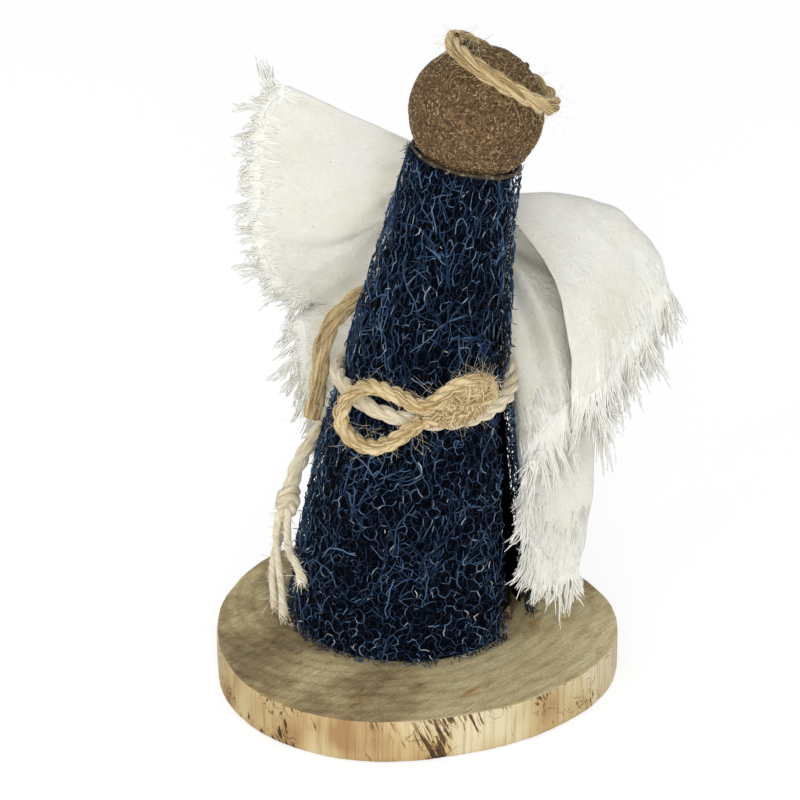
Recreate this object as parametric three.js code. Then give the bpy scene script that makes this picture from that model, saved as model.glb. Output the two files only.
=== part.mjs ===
// Angel figurine. A sheet of loofah is rolled into a leaning cone and glued on a slice of branch.
// A fibre ball is the head, jute twine makes the halo and the bow, cotton cord the belt, and a strip
// of fringed muslin, gathered and bound at the robe's back, makes the two wings.
// Millimetres, +Z up, the front faces -Y. The origin is the middle of the base's underside.

import * as THREE from 'three';

// Gap between pieces that touch
const CLEARANCE = 0.3;

// Wood base: a round slice with three soft corners and a worn edge
const BASE_RADIUS = 64.3;
const BASE_CORNER = 2.3;
const BASE_CORNER_ANGLE = -3;
const BASE_THICKNESS = 14.5;
const BASE_EDGE = 0.8;

// Robe: outer radii, height along its middle line, wall, and the three X positions that bend that line
const ROBE_FOOT_RADIUS = 39.3;
const ROBE_RIM_RADIUS = 18;
const ROBE_HEIGHT = 157;
const ROBE_WALL = 4;
const ROBE_FOOT_X = -2;
const ROBE_BEND_X = -0.5;
const ROBE_RIM_X = 16;
const ROBE_Y = 8;

// Robe's two edges, as angles round its middle line, and how far the free edge flares at the foot
const EDGE_FOOT_ANGLE = -32;
const EDGE_RIM_ANGLE = -25;
const FLAP_FOOT_ANGLE = -12;
const FLAP_RIM_ANGLE = -21;
const FLAP_FLARE = 3;

// Glue inside the foot and round the neck
const FOOT_BEAD_WIDTH = 4;
const FOOT_BEAD_HEIGHT = 5;
const NECK_BEAD_DIAMETER = 2.1;

// Head and halo
const HEAD_RADIUS = 20.9;
const TWINE_DIAMETER = 4.8;
const HALO_RADIUS = 18;
const HALO_TILT = 21;
const HALO_DAB_RADIUS = 1.2;
const HALO_DABS = 3;

// Belt, its knots and its tail
const BELT_DIAMETER = 5.2;
const BELT_HEIGHT = 87;
const BELT_DROOP = 5.8;
const BELT_LOW_ANGLE = -86;
const BELT_KNOT_ANGLE = 120;
const BELT_KNOT_DIAMETER = 9;
const BELT_KNOT_LENGTH = 8;
const TAIL_KNOT_DIAMETER = 8.5;
const TAIL_KNOT_LENGTH = 9;
const TAIL_STRAND_DIAMETER = 2.6;

// Bow: where it crosses over the belt, and the glue behind the crossing
const BOW_ANGLE = -92;
const BOW_DAB_WIDTH = 8;
const BOW_DAB_HEIGHT = 4.4;

// Wing gather, its binding and the glue that holds them to the robe
const GATHER_HEIGHT = 136;
const GATHER_WIDTH = 20.8;
const GATHER_DEPTH = 8;
const GATHER_PINCH_HEIGHT = 14;
const BINDING_TURNS = 2;
const BINDING_TURN_GAP = 1;
const BINDING_END_LENGTH = 11;
const BINDING_TAIL_DIAMETER = 6.6;
const WING_PAD_THICKNESS = 1.5;
const WING_PAD_HEIGHT = 12;
const WING_PAD_HALF_ANGLE = 22;

// Wings
const WING_ROOT_HEIGHT = 24;
const LEFT_ROOT_RISE = 2;
const RIGHT_ROOT_RISE = -9;
const WING_ROOT_GAP = 0.9;
const WING_THICKNESS = 1.2;
const WING_FRINGE = 9;

const point = (x, y, z) => new THREE.Vector3(x, y, z);
const radians = THREE.MathUtils.degToRad;
const blend = THREE.MathUtils.lerp;

function piece(name, geometry, color, roughness) {
  const material = new THREE.MeshStandardMaterial({ color, roughness, metalness: 0 });
  const mesh = new THREE.Mesh(geometry, material);
  mesh.name = name;
  return mesh;
}

// The robe's middle line, and the robe's outer surface, which most other pieces are set against

const footZ = BASE_THICKNESS + CLEARANCE;
const robeLine = new THREE.QuadraticBezierCurve3(
  point(ROBE_FOOT_X, ROBE_Y, footZ),
  point(ROBE_BEND_X, ROBE_Y, footZ + ROBE_HEIGHT / 2),
  point(ROBE_RIM_X, ROBE_Y, footZ + ROBE_HEIGHT),
);

// Most of the taper is a straight cone, and the rest follows a half cosine wave
const TAPER_CURVED_SHARE = 0.3;

function robeRadius(height) {
  const up = THREE.MathUtils.clamp(height / ROBE_HEIGHT, 0, 1);
  const curved = (1 + Math.cos(Math.PI * up)) / 2;
  const taper = blend(1 - up, curved, TAPER_CURVED_SHARE);
  return blend(ROBE_RIM_RADIUS, ROBE_FOOT_RADIUS, taper);
}

// Sections are level at the foot and square to the leaning line at the rim
function robeLean(height) {
  const up = height / ROBE_HEIGHT;
  const along = robeLine.getTangent(Math.min(up, 1));
  return up * Math.atan2(along.x, along.z);
}

function robePoint(angle, height, standOff) {
  const lean = robeLean(height);
  const reach = robeRadius(height) + standOff;
  const right = reach * Math.cos(radians(angle));
  const back = reach * Math.sin(radians(angle));
  const centre = robeLine.getPoint(height / ROBE_HEIGHT);
  return centre.add(point(right * Math.cos(lean), back, -right * Math.sin(lean)));
}

// A round cord along a curve
function cord(curve, diameter, steps, sides) {
  const section = new THREE.Shape();
  const corners = [];
  for (let side = 0; side < sides; side += 1) {
    const turn = (2 * Math.PI * side) / sides;
    corners.push(new THREE.Vector2(Math.cos(turn), Math.sin(turn)).multiplyScalar(diameter / 2));
  }
  section.setFromPoints(corners);
  return new THREE.ExtrudeGeometry(section, { extrudePath: curve, steps, bevelEnabled: false });
}

// The least gap between two stretches of a wound cord, measured on points along it
function leastGap(curve, diameter) {
  const count = 300;
  const spots = curve.getSpacedPoints(count);
  const spacing = curve.getLength() / count;
  const apart = Math.ceil((3 * diameter) / spacing);
  let least = Infinity;
  for (let first = 0; first < spots.length; first += 1) {
    for (let second = first + apart; second < spots.length; second += 1) {
      least = Math.min(least, spots[first].distanceTo(spots[second]) - diameter);
    }
  }
  return least;
}

// Closes the outside and the inside of a sheet, two matching grids of points, into one solid
function sheetSolid(columns, rows, outside, inside) {
  const positions = [];
  for (const face of [outside, inside]) {
    for (let row = 0; row <= rows; row += 1) {
      for (let column = 0; column <= columns; column += 1) {
        positions.push(...face(column / columns, row / rows));
      }
    }
  }
  const layer = (columns + 1) * (rows + 1);
  const outer = (column, row) => row * (columns + 1) + column;
  const inner = (column, row) => layer + outer(column, row);
  const triangles = [];
  const quad = (a, b, c, d) => triangles.push(a, b, c, a, c, d);
  for (let row = 0; row < rows; row += 1) {
    for (let column = 0; column < columns; column += 1) {
      const next = column + 1;
      const above = row + 1;
      quad(outer(column, row), outer(next, row), outer(next, above), outer(column, above));
      quad(inner(column, row), inner(column, above), inner(next, above), inner(next, row));
    }
  }
  for (let column = 0; column < columns; column += 1) {
    const next = column + 1;
    quad(outer(column, 0), inner(column, 0), inner(next, 0), outer(next, 0));
    quad(outer(column, rows), outer(next, rows), inner(next, rows), inner(column, rows));
  }
  for (let row = 0; row < rows; row += 1) {
    const above = row + 1;
    quad(outer(0, row), outer(0, above), inner(0, above), inner(0, row));
    quad(outer(columns, row), inner(columns, row), inner(columns, above), outer(columns, above));
  }
  const geometry = new THREE.BufferGeometry();
  geometry.setAttribute('position', new THREE.Float32BufferAttribute(positions, 3));
  geometry.setIndex(triangles);
  return geometry;
}

const figurine = new THREE.Group();
figurine.name = 'angel_figurine';

// Wood base

function woodBase() {
  const rim = [];
  const steps = 48;
  for (let step = 0; step < steps; step += 1) {
    const turn = (2 * Math.PI * step) / steps;
    const radius = BASE_RADIUS + BASE_CORNER * Math.cos(3 * (turn - radians(BASE_CORNER_ANGLE)));
    rim.push(new THREE.Vector2(radius * Math.cos(turn), radius * Math.sin(turn)));
  }
  const slice = new THREE.ExtrudeGeometry(new THREE.Shape(rim), {
    depth: BASE_THICKNESS - 2 * BASE_EDGE,
    bevelThickness: BASE_EDGE,
    bevelSize: BASE_EDGE,
    bevelOffset: -BASE_EDGE,
    bevelSegments: 2,
  });
  const mesh = piece('wood_base', slice, 0x9c8768, 0.85);
  mesh.position.z = BASE_EDGE;
  return mesh;
}

figurine.add(woodBase());

// Robe: one sheet, from its free flap at the right, round the back and the front, to its inner edge

function robeAngle(around, height) {
  const up = height / ROBE_HEIGHT;
  const flap = blend(FLAP_FOOT_ANGLE, FLAP_RIM_ANGLE, up) - 360;
  const edge = blend(EDGE_FOOT_ANGLE, EDGE_RIM_ANGLE, up);
  return blend(flap, edge, around);
}

function robeWrap() {
  const flapReach = 0.12;
  const flare = (around, height) => {
    const near = 1 - THREE.MathUtils.smoothstep(around, 0, flapReach);
    const underBelt = Math.max(0, 1 - (height + BELT_DIAMETER) / (BELT_HEIGHT - BELT_DROOP));
    return FLAP_FLARE * near * underBelt;
  };
  const surface = (depth) => (around, up) => {
    const height = up * ROBE_HEIGHT;
    return robePoint(robeAngle(around, height), height, flare(around, height) - depth);
  };
  return piece('robe_wrap', sheetSolid(40, 10, surface(0), surface(ROBE_WALL)), 0x1c2848, 0.9);
}

function footGlueBead() {
  const surface = (inward) => (around, up) => {
    const height = up * FOOT_BEAD_HEIGHT;
    const taper = blend(1, 0.2, up);
    return robePoint(robeAngle(around, height), height, -ROBE_WALL - CLEARANCE - inward * taper);
  };
  return piece('foot_glue_bead', sheetSolid(28, 2, surface(0), surface(FOOT_BEAD_WIDTH)), 0xe6e0d2, 0.5);
}

figurine.add(robeWrap(), footGlueBead());

// Head, seated like an egg in the robe's rim, with its glue bead and its halo

const collar = new THREE.Group();
collar.position.copy(robeLine.getPoint(1));
collar.rotation.y = robeLean(ROBE_HEIGHT);
figurine.add(collar);

const rimInnerRadius = ROBE_RIM_RADIUS - ROBE_WALL;
const headHeight = Math.sqrt((HEAD_RADIUS + CLEARANCE) ** 2 - rimInnerRadius ** 2);

function headBall() {
  const mesh = piece('head_ball', new THREE.IcosahedronGeometry(HEAD_RADIUS, 5), 0x6b4a30, 0.95);
  mesh.position.z = headHeight;
  return mesh;
}

function neckGlueBead() {
  const radius = NECK_BEAD_DIAMETER / 2;
  const height = radius + CLEARANCE;
  const toHead = HEAD_RADIUS + CLEARANCE + radius;
  const ring = Math.sqrt(toHead ** 2 - (headHeight - height) ** 2);
  const mesh = piece('neck_glue_bead', new THREE.TorusGeometry(ring, radius, 8, 36), 0xe6e0d2, 0.5);
  mesh.position.z = height;
  return mesh;
}

collar.add(headBall(), neckGlueBead());

const halo = new THREE.Group();
halo.position.z = headHeight;
halo.rotation.y = radians(HALO_TILT);
collar.add(halo);

const haloToHead = HEAD_RADIUS + CLEARANCE + TWINE_DIAMETER / 2;

// The halo is one length of twine whose two ends meet at the left
function haloRing() {
  const height = Math.sqrt(haloToHead ** 2 - HALO_RADIUS ** 2);
  const endGap = (2 * CLEARANCE) / HALO_RADIUS;
  const steps = 24;
  const route = [];
  for (let step = 0; step <= steps; step += 1) {
    const turn = Math.PI + endGap / 2 + ((2 * Math.PI - endGap) * step) / steps;
    route.push(point(HALO_RADIUS * Math.cos(turn), HALO_RADIUS * Math.sin(turn), height));
  }
  const curve = new THREE.CatmullRomCurve3(route);
  return piece('halo_ring', cord(curve, TWINE_DIAMETER, 32, 8), 0xae8f66, 0.95);
}

// Each dab fills the corner between the twine's inner side and the head
function haloGlueDab(count) {
  const toHead = HEAD_RADIUS + CLEARANCE + HALO_DAB_RADIUS;
  const toTwine = TWINE_DIAMETER / 2 + CLEARANCE + HALO_DAB_RADIUS;
  const cosine = (haloToHead ** 2 + toHead ** 2 - toTwine ** 2) / (2 * haloToHead * toHead);
  const fromAxis = Math.asin(HALO_RADIUS / haloToHead) - Math.acos(cosine);
  const turn = (2 * Math.PI * (count + 0.5)) / HALO_DABS;
  const ring = toHead * Math.sin(fromAxis);
  const ball = new THREE.IcosahedronGeometry(HALO_DAB_RADIUS, 1);
  const mesh = piece(`halo_glue_dab_${count + 1}`, ball, 0xe6e0d2, 0.5);
  mesh.position.set(ring * Math.cos(turn), ring * Math.sin(turn), toHead * Math.cos(fromAxis));
  return mesh;
}

halo.add(haloRing());
for (let count = 0; count < HALO_DABS; count += 1) {
  halo.add(haloGlueDab(count));
}

// Belt: one turn of cord round the waist, lowest at the front, ending at its knot on both sides

const beltStandOff = BELT_DIAMETER / 2 + CLEARANCE;

function beltHeight(angle) {
  return BELT_HEIGHT - BELT_DROOP * Math.cos(radians(angle - BELT_LOW_ANGLE));
}

function beltCord() {
  const reach = robeRadius(BELT_HEIGHT) + beltStandOff;
  const halfGap = THREE.MathUtils.radToDeg((BELT_KNOT_LENGTH / 2 + CLEARANCE) / reach);
  const steps = 36;
  const route = [];
  for (let step = 0; step <= steps; step += 1) {
    const angle = blend(BELT_KNOT_ANGLE + halfGap, BELT_KNOT_ANGLE + 360 - halfGap, step / steps);
    route.push(robePoint(angle, beltHeight(angle), beltStandOff));
  }
  const curve = new THREE.CatmullRomCurve3(route);
  return piece('belt_cord', cord(curve, BELT_DIAMETER, 40, 10), 0xe8dfca, 0.9);
}

// A knot as two bulging turns of cord, along its own Y axis
function knot(name, diameter, length) {
  const profile = new THREE.SplineCurve([
    new THREE.Vector2(0.26 * diameter, -0.5 * length),
    new THREE.Vector2(0.5 * diameter, -0.25 * length),
    new THREE.Vector2(0.42 * diameter, 0),
    new THREE.Vector2(0.5 * diameter, 0.25 * length),
    new THREE.Vector2(0.26 * diameter, 0.5 * length),
  ]);
  const bottom = new THREE.Vector2(0, -length / 2);
  const top = new THREE.Vector2(0, length / 2);
  const outline = [bottom, ...profile.getPoints(12), top];
  return piece(name, new THREE.LatheGeometry(outline, 12), 0xe8dfca, 0.9);
}

function turnTo(mesh, direction) {
  mesh.quaternion.setFromUnitVectors(point(0, 1, 0), direction.clone().normalize());
}

function beltKnot() {
  const mesh = knot('belt_knot', BELT_KNOT_DIAMETER, BELT_KNOT_LENGTH);
  const standOff = BELT_KNOT_DIAMETER / 2 + CLEARANCE;
  const place = (angle) => robePoint(angle, beltHeight(angle), standOff);
  mesh.position.copy(place(BELT_KNOT_ANGLE));
  turnTo(mesh, place(BELT_KNOT_ANGLE + 1).sub(place(BELT_KNOT_ANGLE - 1)));
  return mesh;
}

figurine.add(beltCord(), beltKnot());

// The belt's long end hangs from its knot, down the robe's left side, to an overhand knot

const beltTailRoute = [
  [-11.2, 35, 102.6], [-12.2, 34.9, 99.3], [-13.6, 34.9, 95.8], [-15.4, 34.6, 92.3],
  [-17.5, 34.1, 88.8], [-19.7, 33.3, 85.3], [-22.2, 32.1, 81.8], [-24.8, 30.5, 78.3],
  [-27.4, 28.5, 74.8], [-29.9, 26.1, 71.8], [-32.3, 23.4, 68.9], [-34.5, 20.5, 66.3],
  [-36.4, 17.6, 63.8], [-37.9, 14.7, 61.2], [-39.1, 11.7, 58.2],
];
const tailKnotCentre = point(-40.2, 9, 53.9);
const tailKnotAxis = point(-0.2, -0.5, -0.85);

// Under that knot the cord is unlaid into three strands
const frontStrandRoute = [
  [-40.3, 5, 49.8], [-40.4, 4.4, 48.3], [-40.4, 3.6, 46.6], [-40.4, 2.6, 44.8], [-40.3, 1.4, 43.2],
  [-40.1, 0, 41.9], [-39.8, -1.6, 41.1], [-39.4, -3.3, 40.7], [-38.9, -5, 40.6], [-38.3, -6.7, 40.5],
  [-37.6, -8.4, 40.1], [-36.9, -9.9, 39.3], [-36.3, -11.2, 38.2], [-35.7, -12.3, 36.8],
  [-35.2, -13.1, 35.2],
];
const leftStrandRoute = [
  [-43, 6.3, 49.7], [-43.4, 6, 47.8], [-43.8, 5.8, 45.5], [-44, 5.8, 43], [-44, 5.8, 40.5],
  [-43.9, 5.5, 38], [-43.7, 5.1, 35.5], [-43.4, 4.5, 33], [-43.1, 3.8, 30.5], [-42.8, 3, 28],
  [-42.5, 2.1, 25.5], [-42.3, 1.1, 23], [-42.1, 0, 20.7], [-41.9, -1.1, 18.7], [-41.7, -2, 17],
];
const backStrandRoute = [
  [-40.7, 7.4, 48], [-41.1, 7.6, 46.2], [-41.8, 8.3, 44], [-42.6, 8.8, 41.5], [-43.5, 8.9, 39],
  [-44.3, 8.7, 36.5], [-44.9, 8.3, 34], [-45.3, 7.8, 31.5], [-45.5, 7.2, 29], [-45.5, 6.6, 26.5],
  [-45.4, 6, 24], [-45.2, 5.4, 22], [-45, 4.9, 20.3], [-44.7, 4.4, 18.8], [-44.4, 4, 17.4],
];

function along(route) {
  return new THREE.CatmullRomCurve3(route.map((spot) => point(...spot)));
}

function tailKnot() {
  const mesh = knot('tail_knot', TAIL_KNOT_DIAMETER, TAIL_KNOT_LENGTH);
  mesh.position.copy(tailKnotCentre);
  turnTo(mesh, tailKnotAxis);
  return mesh;
}

const tailStrand = (name, route) =>
  piece(name, cord(along(route), TAIL_STRAND_DIAMETER, 12, 8), 0xe8dfca, 0.9);

figurine.add(
  piece('belt_tail', cord(along(beltTailRoute), BELT_DIAMETER, 20, 10), 0xe8dfca, 0.9),
  tailKnot(),
  tailStrand('tail_strand_front', frontStrandRoute),
  tailStrand('tail_strand_left', leftStrandRoute),
  tailStrand('tail_strand_back', backStrandRoute),
);

// Bow: one length of twine laid as a figure eight over the belt, its ends hidden under its crossing

const overBelt = BELT_DIAMETER + 2 * CLEARANCE + TWINE_DIAMETER / 2;
const overCrossing = overBelt + TWINE_DIAMETER + CLEARANCE;
const bowHeight = beltHeight(BOW_ANGLE) + BELT_DIAMETER / 2 + CLEARANCE + BOW_DAB_HEIGHT / 2;

// Each spot: degrees round from the crossing, height above it, and stand-off from the robe
const bowRoute = [
  [0, -0.4, overBelt], [15, 1.6, overBelt], [27, 3.2, overBelt], [35, 6.6, overBelt],
  [27, 10.2, overBelt], [14, 9.2, overBelt + 1.4], [0, 4.6, overCrossing], [-14, 6.2, overBelt + 2.4],
  [-32, 5.8, overBelt], [-45, 0, overBelt], [-48, -7, overBelt], [-40, -12, overBelt - 1],
  [-26, -13.4, overBelt - 1.5], [-13, -9.4, overBelt],
];

function juteBow() {
  const spots = bowRoute.map(([turn, rise, standOff]) =>
    robePoint(BOW_ANGLE + turn, bowHeight + rise, standOff));
  const loop = new THREE.CatmullRomCurve3(spots, true);
  const endGap = (2 * CLEARANCE) / loop.getLength();
  const steps = 64;
  const route = [];
  for (let step = 0; step <= steps; step += 1) {
    route.push(loop.getPointAt(blend(endGap / 2, 1 - endGap / 2, step / steps)));
  }
  const curve = new THREE.CatmullRomCurve3(route);
  return piece('jute_bow', cord(curve, TWINE_DIAMETER, 56, 8), 0xae8f66, 0.95);
}

function bowGlueDab() {
  const depth = overBelt - TWINE_DIAMETER / 2 - 2 * CLEARANCE;
  const mesh = piece('bow_glue_dab', new THREE.IcosahedronGeometry(0.5, 3), 0xe6e0d2, 0.5);
  mesh.scale.set(BOW_DAB_WIDTH, depth, BOW_DAB_HEIGHT);
  mesh.rotation.z = radians(BOW_ANGLE + 90);
  mesh.position.copy(robePoint(BOW_ANGLE, bowHeight, CLEARANCE + depth / 2));
  return mesh;
}

figurine.add(juteBow(), bowGlueDab());

// Glue pad on the robe's back: it fills the robe's taper, so that its own back is upright

const padFoot = GATHER_HEIGHT - WING_PAD_HEIGHT / 2;

function wingGluePad() {
  const surface = (thickness) => (around, up) => {
    const angle = 90 + WING_PAD_HALF_ANGLE * (2 * around - 1);
    const height = padFoot + up * WING_PAD_HEIGHT;
    const taper = thickness > 0 ? robeRadius(padFoot) - robeRadius(height) : 0;
    return robePoint(angle, height, CLEARANCE + thickness + taper);
  };
  const pad = sheetSolid(8, 4, surface(WING_PAD_THICKNESS), surface(0));
  return piece('wing_glue_pad', pad, 0xe6e0d2, 0.5);
}

// Gather: the cloth's middle, pinched to a waist where the twine binds it. Its left end fans out a
// little upwards and its right end downwards.

const padBackY = robePoint(90, padFoot, CLEARANCE + WING_PAD_THICKNESS).y;
const gatherCentre = robePoint(90, GATHER_HEIGHT, 0);
gatherCentre.y = padBackY + TWINE_DIAMETER + 2 * CLEARANCE + GATHER_DEPTH / 2;
const bindingPitch = TWINE_DIAMETER + BINDING_TURN_GAP;
const bindingHalfWidth = (BINDING_TURNS * bindingPitch) / 2;
const waistHalfWidth = bindingHalfWidth - bindingPitch / 4 + TWINE_DIAMETER / 2 + CLEARANCE;

function wingGather() {
  const bundle = new THREE.CylinderGeometry(1, 1, GATHER_WIDTH, 16, 12);
  const spots = bundle.attributes.position;
  for (let index = 0; index < spots.count; index += 1) {
    const across = spots.getY(index);
    const swell = THREE.MathUtils.smoothstep(Math.abs(across), waistHalfWidth, GATHER_WIDTH / 2);
    const height = blend(GATHER_PINCH_HEIGHT, WING_ROOT_HEIGHT, swell);
    const rise = swell * (across < 0 ? LEFT_ROOT_RISE : RIGHT_ROOT_RISE);
    spots.setX(index, (spots.getX(index) * GATHER_DEPTH) / 2);
    spots.setZ(index, (spots.getZ(index) * height) / 2 + rise);
  }
  const mesh = piece('wing_gather', bundle, 0xe6decb, 0.95);
  mesh.rotation.z = -Math.PI / 2;
  mesh.position.copy(gatherCentre);
  return mesh;
}

// Binding: turns of twine round the waist, with its last end running straight down beside the robe
function wingBinding() {
  const halfDepth = GATHER_DEPTH / 2 + CLEARANCE + TWINE_DIAMETER / 2;
  const halfHeight = GATHER_PINCH_HEIGHT / 2 + CLEARANCE + TWINE_DIAMETER / 2;
  const frontY = gatherCentre.y - halfDepth;
  const firstX = gatherCentre.x + bindingHalfWidth;
  const lastX = gatherCentre.x - bindingHalfWidth;
  const route = [];
  for (const share of [1, 0.5]) {
    route.push(point(firstX, frontY, gatherCentre.z + share * TWINE_DIAMETER));
  }
  const stepsPerTurn = 24;
  const steps = stepsPerTurn * BINDING_TURNS;
  for (let step = 0; step <= steps; step += 1) {
    const turn = (2 * Math.PI * step) / stepsPerTurn;
    const x = blend(firstX, lastX, step / steps);
    const y = gatherCentre.y - halfDepth * Math.cos(turn);
    route.push(point(x, y, gatherCentre.z - halfHeight * Math.sin(turn)));
  }
  for (const share of [0.25, 0.5, 0.75, 1]) {
    route.push(point(lastX, frontY, gatherCentre.z - share * BINDING_END_LENGTH));
  }
  const curve = new THREE.CatmullRomCurve3(route);
  console.log(`wing_binding: least gap to itself ${leastGap(curve, TWINE_DIAMETER).toFixed(2)} mm`);
  return piece('wing_binding', cord(curve, TWINE_DIAMETER, steps + 8, 6), 0xae8f66, 0.95);
}

// The binding's doubled end comes out under the left wing and hangs past the belt
const bindingTailRoute = [
  [6.2, 34.2, 139.2], [5.8, 34.4, 136.4], [4.4, 34.7, 133.3], [1.6, 34.8, 130], [-1.9, 34.3, 126.9],
  [-5.8, 33.3, 123.9], [-9.8, 32, 120.9], [-14.3, 31, 117.9], [-18.8, 29.9, 114.9],
  [-23.1, 28.8, 111.3], [-26.3, 27.3, 107.3], [-28.4, 25.6, 102.9], [-29.5, 23.1, 98.1],
  [-30, 20.3, 93.1], [-30.6, 17.5, 88.5], [-31.5, 15.4, 84], [-32.4, 14.1, 80.4],
];

figurine.add(
  wingGluePad(),
  wingGather(),
  wingBinding(),
  piece('binding_tail', cord(along(bindingTailRoute), BINDING_TAIL_DIAMETER, 18, 8), 0xae8f66, 0.95),
);

// Wings: each is a fan of ribs from the gather's end to a fringed hem. A rib gives the point that the
// cloth passes half-way out and its point on the hem: degrees round the robe, height, and stand-off.

const leftRibs = [
  { middle: [130, 148.5, 32], hem: [138.5, 151.5, 54] },
  { middle: [129.5, 142.5, 34.5], hem: [138.5, 137.5, 58.5] },
  { middle: [127.5, 133, 34.5], hem: [138.5, 121.5, 56] },
  { middle: [127.5, 124, 31], hem: [139, 107.5, 50.5] },
  { middle: [128, 116.5, 25.5], hem: [139, 98, 41.5] },
  { middle: [122.5, 108.5, 23.5], hem: [128, 86, 36] },
  { middle: [116, 101.5, 23.5], hem: [118, 76.5, 37] },
  { middle: [117, 95.5, 21], hem: [126.5, 67.5, 34.5] },
  { middle: [115.5, 86, 17], hem: [125, 52.5, 25] },
  { middle: [113.5, 79.5, 13], hem: [123.5, 38, 16] },
];

const rightRibs = [
  { middle: [18, 117, 11], hem: [5, 81, 18.5] },
  { middle: [18, 118, 19], hem: [8, 69, 28.5] },
  { middle: [24, 127.5, 28], hem: [14.5, 79.5, 43.5] },
  { middle: [31, 137, 34], hem: [22.5, 99.5, 53] },
  { middle: [37.5, 140, 34.5], hem: [28.5, 112, 56] },
  { middle: [43, 130, 33], hem: [32.5, 92.5, 55.5] },
  { middle: [38, 109, 23], hem: [19.5, 74, 30.5] },
  { middle: [33, 94, 12.5], hem: [6, 55, 7.5] },
  { middle: [29.5, 84.5, 11], hem: [-3, 41, 6] },
  { middle: [28, 76, 12.5], hem: [-8, 21, 6.5] },
  { middle: [27, 73.5, 19.5], hem: [-9, 13, 12.5] },
  { middle: [29.5, 73.5, 25.5], hem: [0, 18, 18] },
];

function wing(name, ribs, side, rootRise) {
  const middleLine = new THREE.CatmullRomCurve3(ribs.map((rib) => robePoint(...rib.middle)));
  const hemLine = new THREE.CatmullRomCurve3(ribs.map((rib) => robePoint(...rib.hem)));
  const rootX = gatherCentre.x + side * (GATHER_WIDTH / 2 + WING_ROOT_GAP);
  const ribAt = (across) => {
    const rootZ = gatherCentre.z + rootRise + WING_ROOT_HEIGHT * (0.5 - across);
    const root = point(rootX, gatherCentre.y, rootZ);
    const hem = hemLine.getPoint(across);
    const chordMiddle = root.clone().add(hem).multiplyScalar(0.5);
    const control = middleLine.getPoint(across).multiplyScalar(2).sub(chordMiddle);
    return new THREE.QuadraticBezierCurve3(root, control, hem);
  };
  const columns = 44;
  const rows = 7;
  const nearby = 0.003;
  const normalAt = (across, out) => {
    const before = Math.max(across - nearby, 0);
    const after = Math.min(across + nearby, 1);
    const sideways = ribAt(after).getPoint(out).sub(ribAt(before).getPoint(out));
    return sideways.cross(ribAt(across).getTangent(out)).normalize();
  };
  const surface = (lift) => (across, out) => {
    const rib = ribAt(across);
    const spot = rib.getPoint(out);
    const isTooth = out === 1 && Math.round(across * columns) % 2 === 1;
    if (isTooth) {
      spot.addScaledVector(rib.getTangent(1), WING_FRINGE);
    }
    return spot.addScaledVector(normalAt(across, out), lift);
  };
  const cloth = sheetSolid(columns, rows, surface(WING_THICKNESS / 2), surface(-WING_THICKNESS / 2));
  return piece(name, cloth, 0xe6decb, 0.95);
}

figurine.add(
  wing('left_wing_cloth', leftRibs, -1, LEFT_ROOT_RISE),
  wing('right_wing_cloth', rightRibs, 1, RIGHT_ROOT_RISE),
);

export default figurine;
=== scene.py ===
"""Angel figurine of loofah, twine, cord and muslin on a slice of branch, dressed around its CAD frame."""

import math

import bmesh
import bpy
import numpy as np
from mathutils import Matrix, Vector, noise
from mathutils.geometry import delaunay_2d_cdt


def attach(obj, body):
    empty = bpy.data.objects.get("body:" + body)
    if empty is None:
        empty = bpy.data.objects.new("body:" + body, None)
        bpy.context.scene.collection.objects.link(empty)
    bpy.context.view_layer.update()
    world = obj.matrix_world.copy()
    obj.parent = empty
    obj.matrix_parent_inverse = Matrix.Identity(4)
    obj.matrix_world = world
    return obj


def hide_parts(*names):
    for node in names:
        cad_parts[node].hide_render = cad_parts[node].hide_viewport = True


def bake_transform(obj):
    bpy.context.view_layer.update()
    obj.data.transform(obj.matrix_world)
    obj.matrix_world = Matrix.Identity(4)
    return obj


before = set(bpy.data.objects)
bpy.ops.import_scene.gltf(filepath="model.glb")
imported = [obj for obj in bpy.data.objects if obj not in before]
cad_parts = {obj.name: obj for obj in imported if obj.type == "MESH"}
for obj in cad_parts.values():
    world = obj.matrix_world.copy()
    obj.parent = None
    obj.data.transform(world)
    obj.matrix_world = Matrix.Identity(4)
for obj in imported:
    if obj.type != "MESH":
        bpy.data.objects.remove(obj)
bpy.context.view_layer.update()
scene = bpy.context.scene

# The set: a pale floor under soft daylight, seen from the front and above.
# The camera is a long lens at a little over a metre. The sweep behind is white.
AIM = Vector((-0.00415, 0.0, 0.09363))
CAMERA_RISE = math.radians(25.03)
CAMERA_DISTANCE = 1.150
LENS_MM = 164.06
SENSOR_MM = 36
LAMPS = [
    ("window_left", (-0.9, -0.9, 0.75), 0.7, 4.0),
    ("fill_right", (0.9, -0.75, 0.5), 0.8, 1.7),
    ("fill_front", (0.0, -1.25, 0.48), 0.6, 7.6),
    ("top_back", (0.0, 0.7, 1.1), 0.7, 1.4),
]
WHITE = (1, 1, 1)
AMBIENT_STRENGTH = 0.5
FLOOR_HALF_WIDTH = 4.0
FLOOR_DROP = 0.0002
PAPER_COLOUR = (0.42, 0.42, 0.43)
PAPER_GLOW = 0.7
PAPER_BOUNCE = (0.92, 0.92, 0.92)

camera = bpy.data.objects.new("camera", bpy.data.cameras.new("camera"))
towards_camera = Vector((0, -math.cos(CAMERA_RISE), math.sin(CAMERA_RISE)))
camera.location = AIM + CAMERA_DISTANCE * towards_camera
camera.rotation_euler = (-towards_camera).to_track_quat("-Z", "Y").to_euler()
camera.data.lens = LENS_MM
camera.data.sensor_width = SENSOR_MM
scene.collection.objects.link(camera)
scene.camera = camera
scene.view_settings.view_transform = "Standard"

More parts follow.
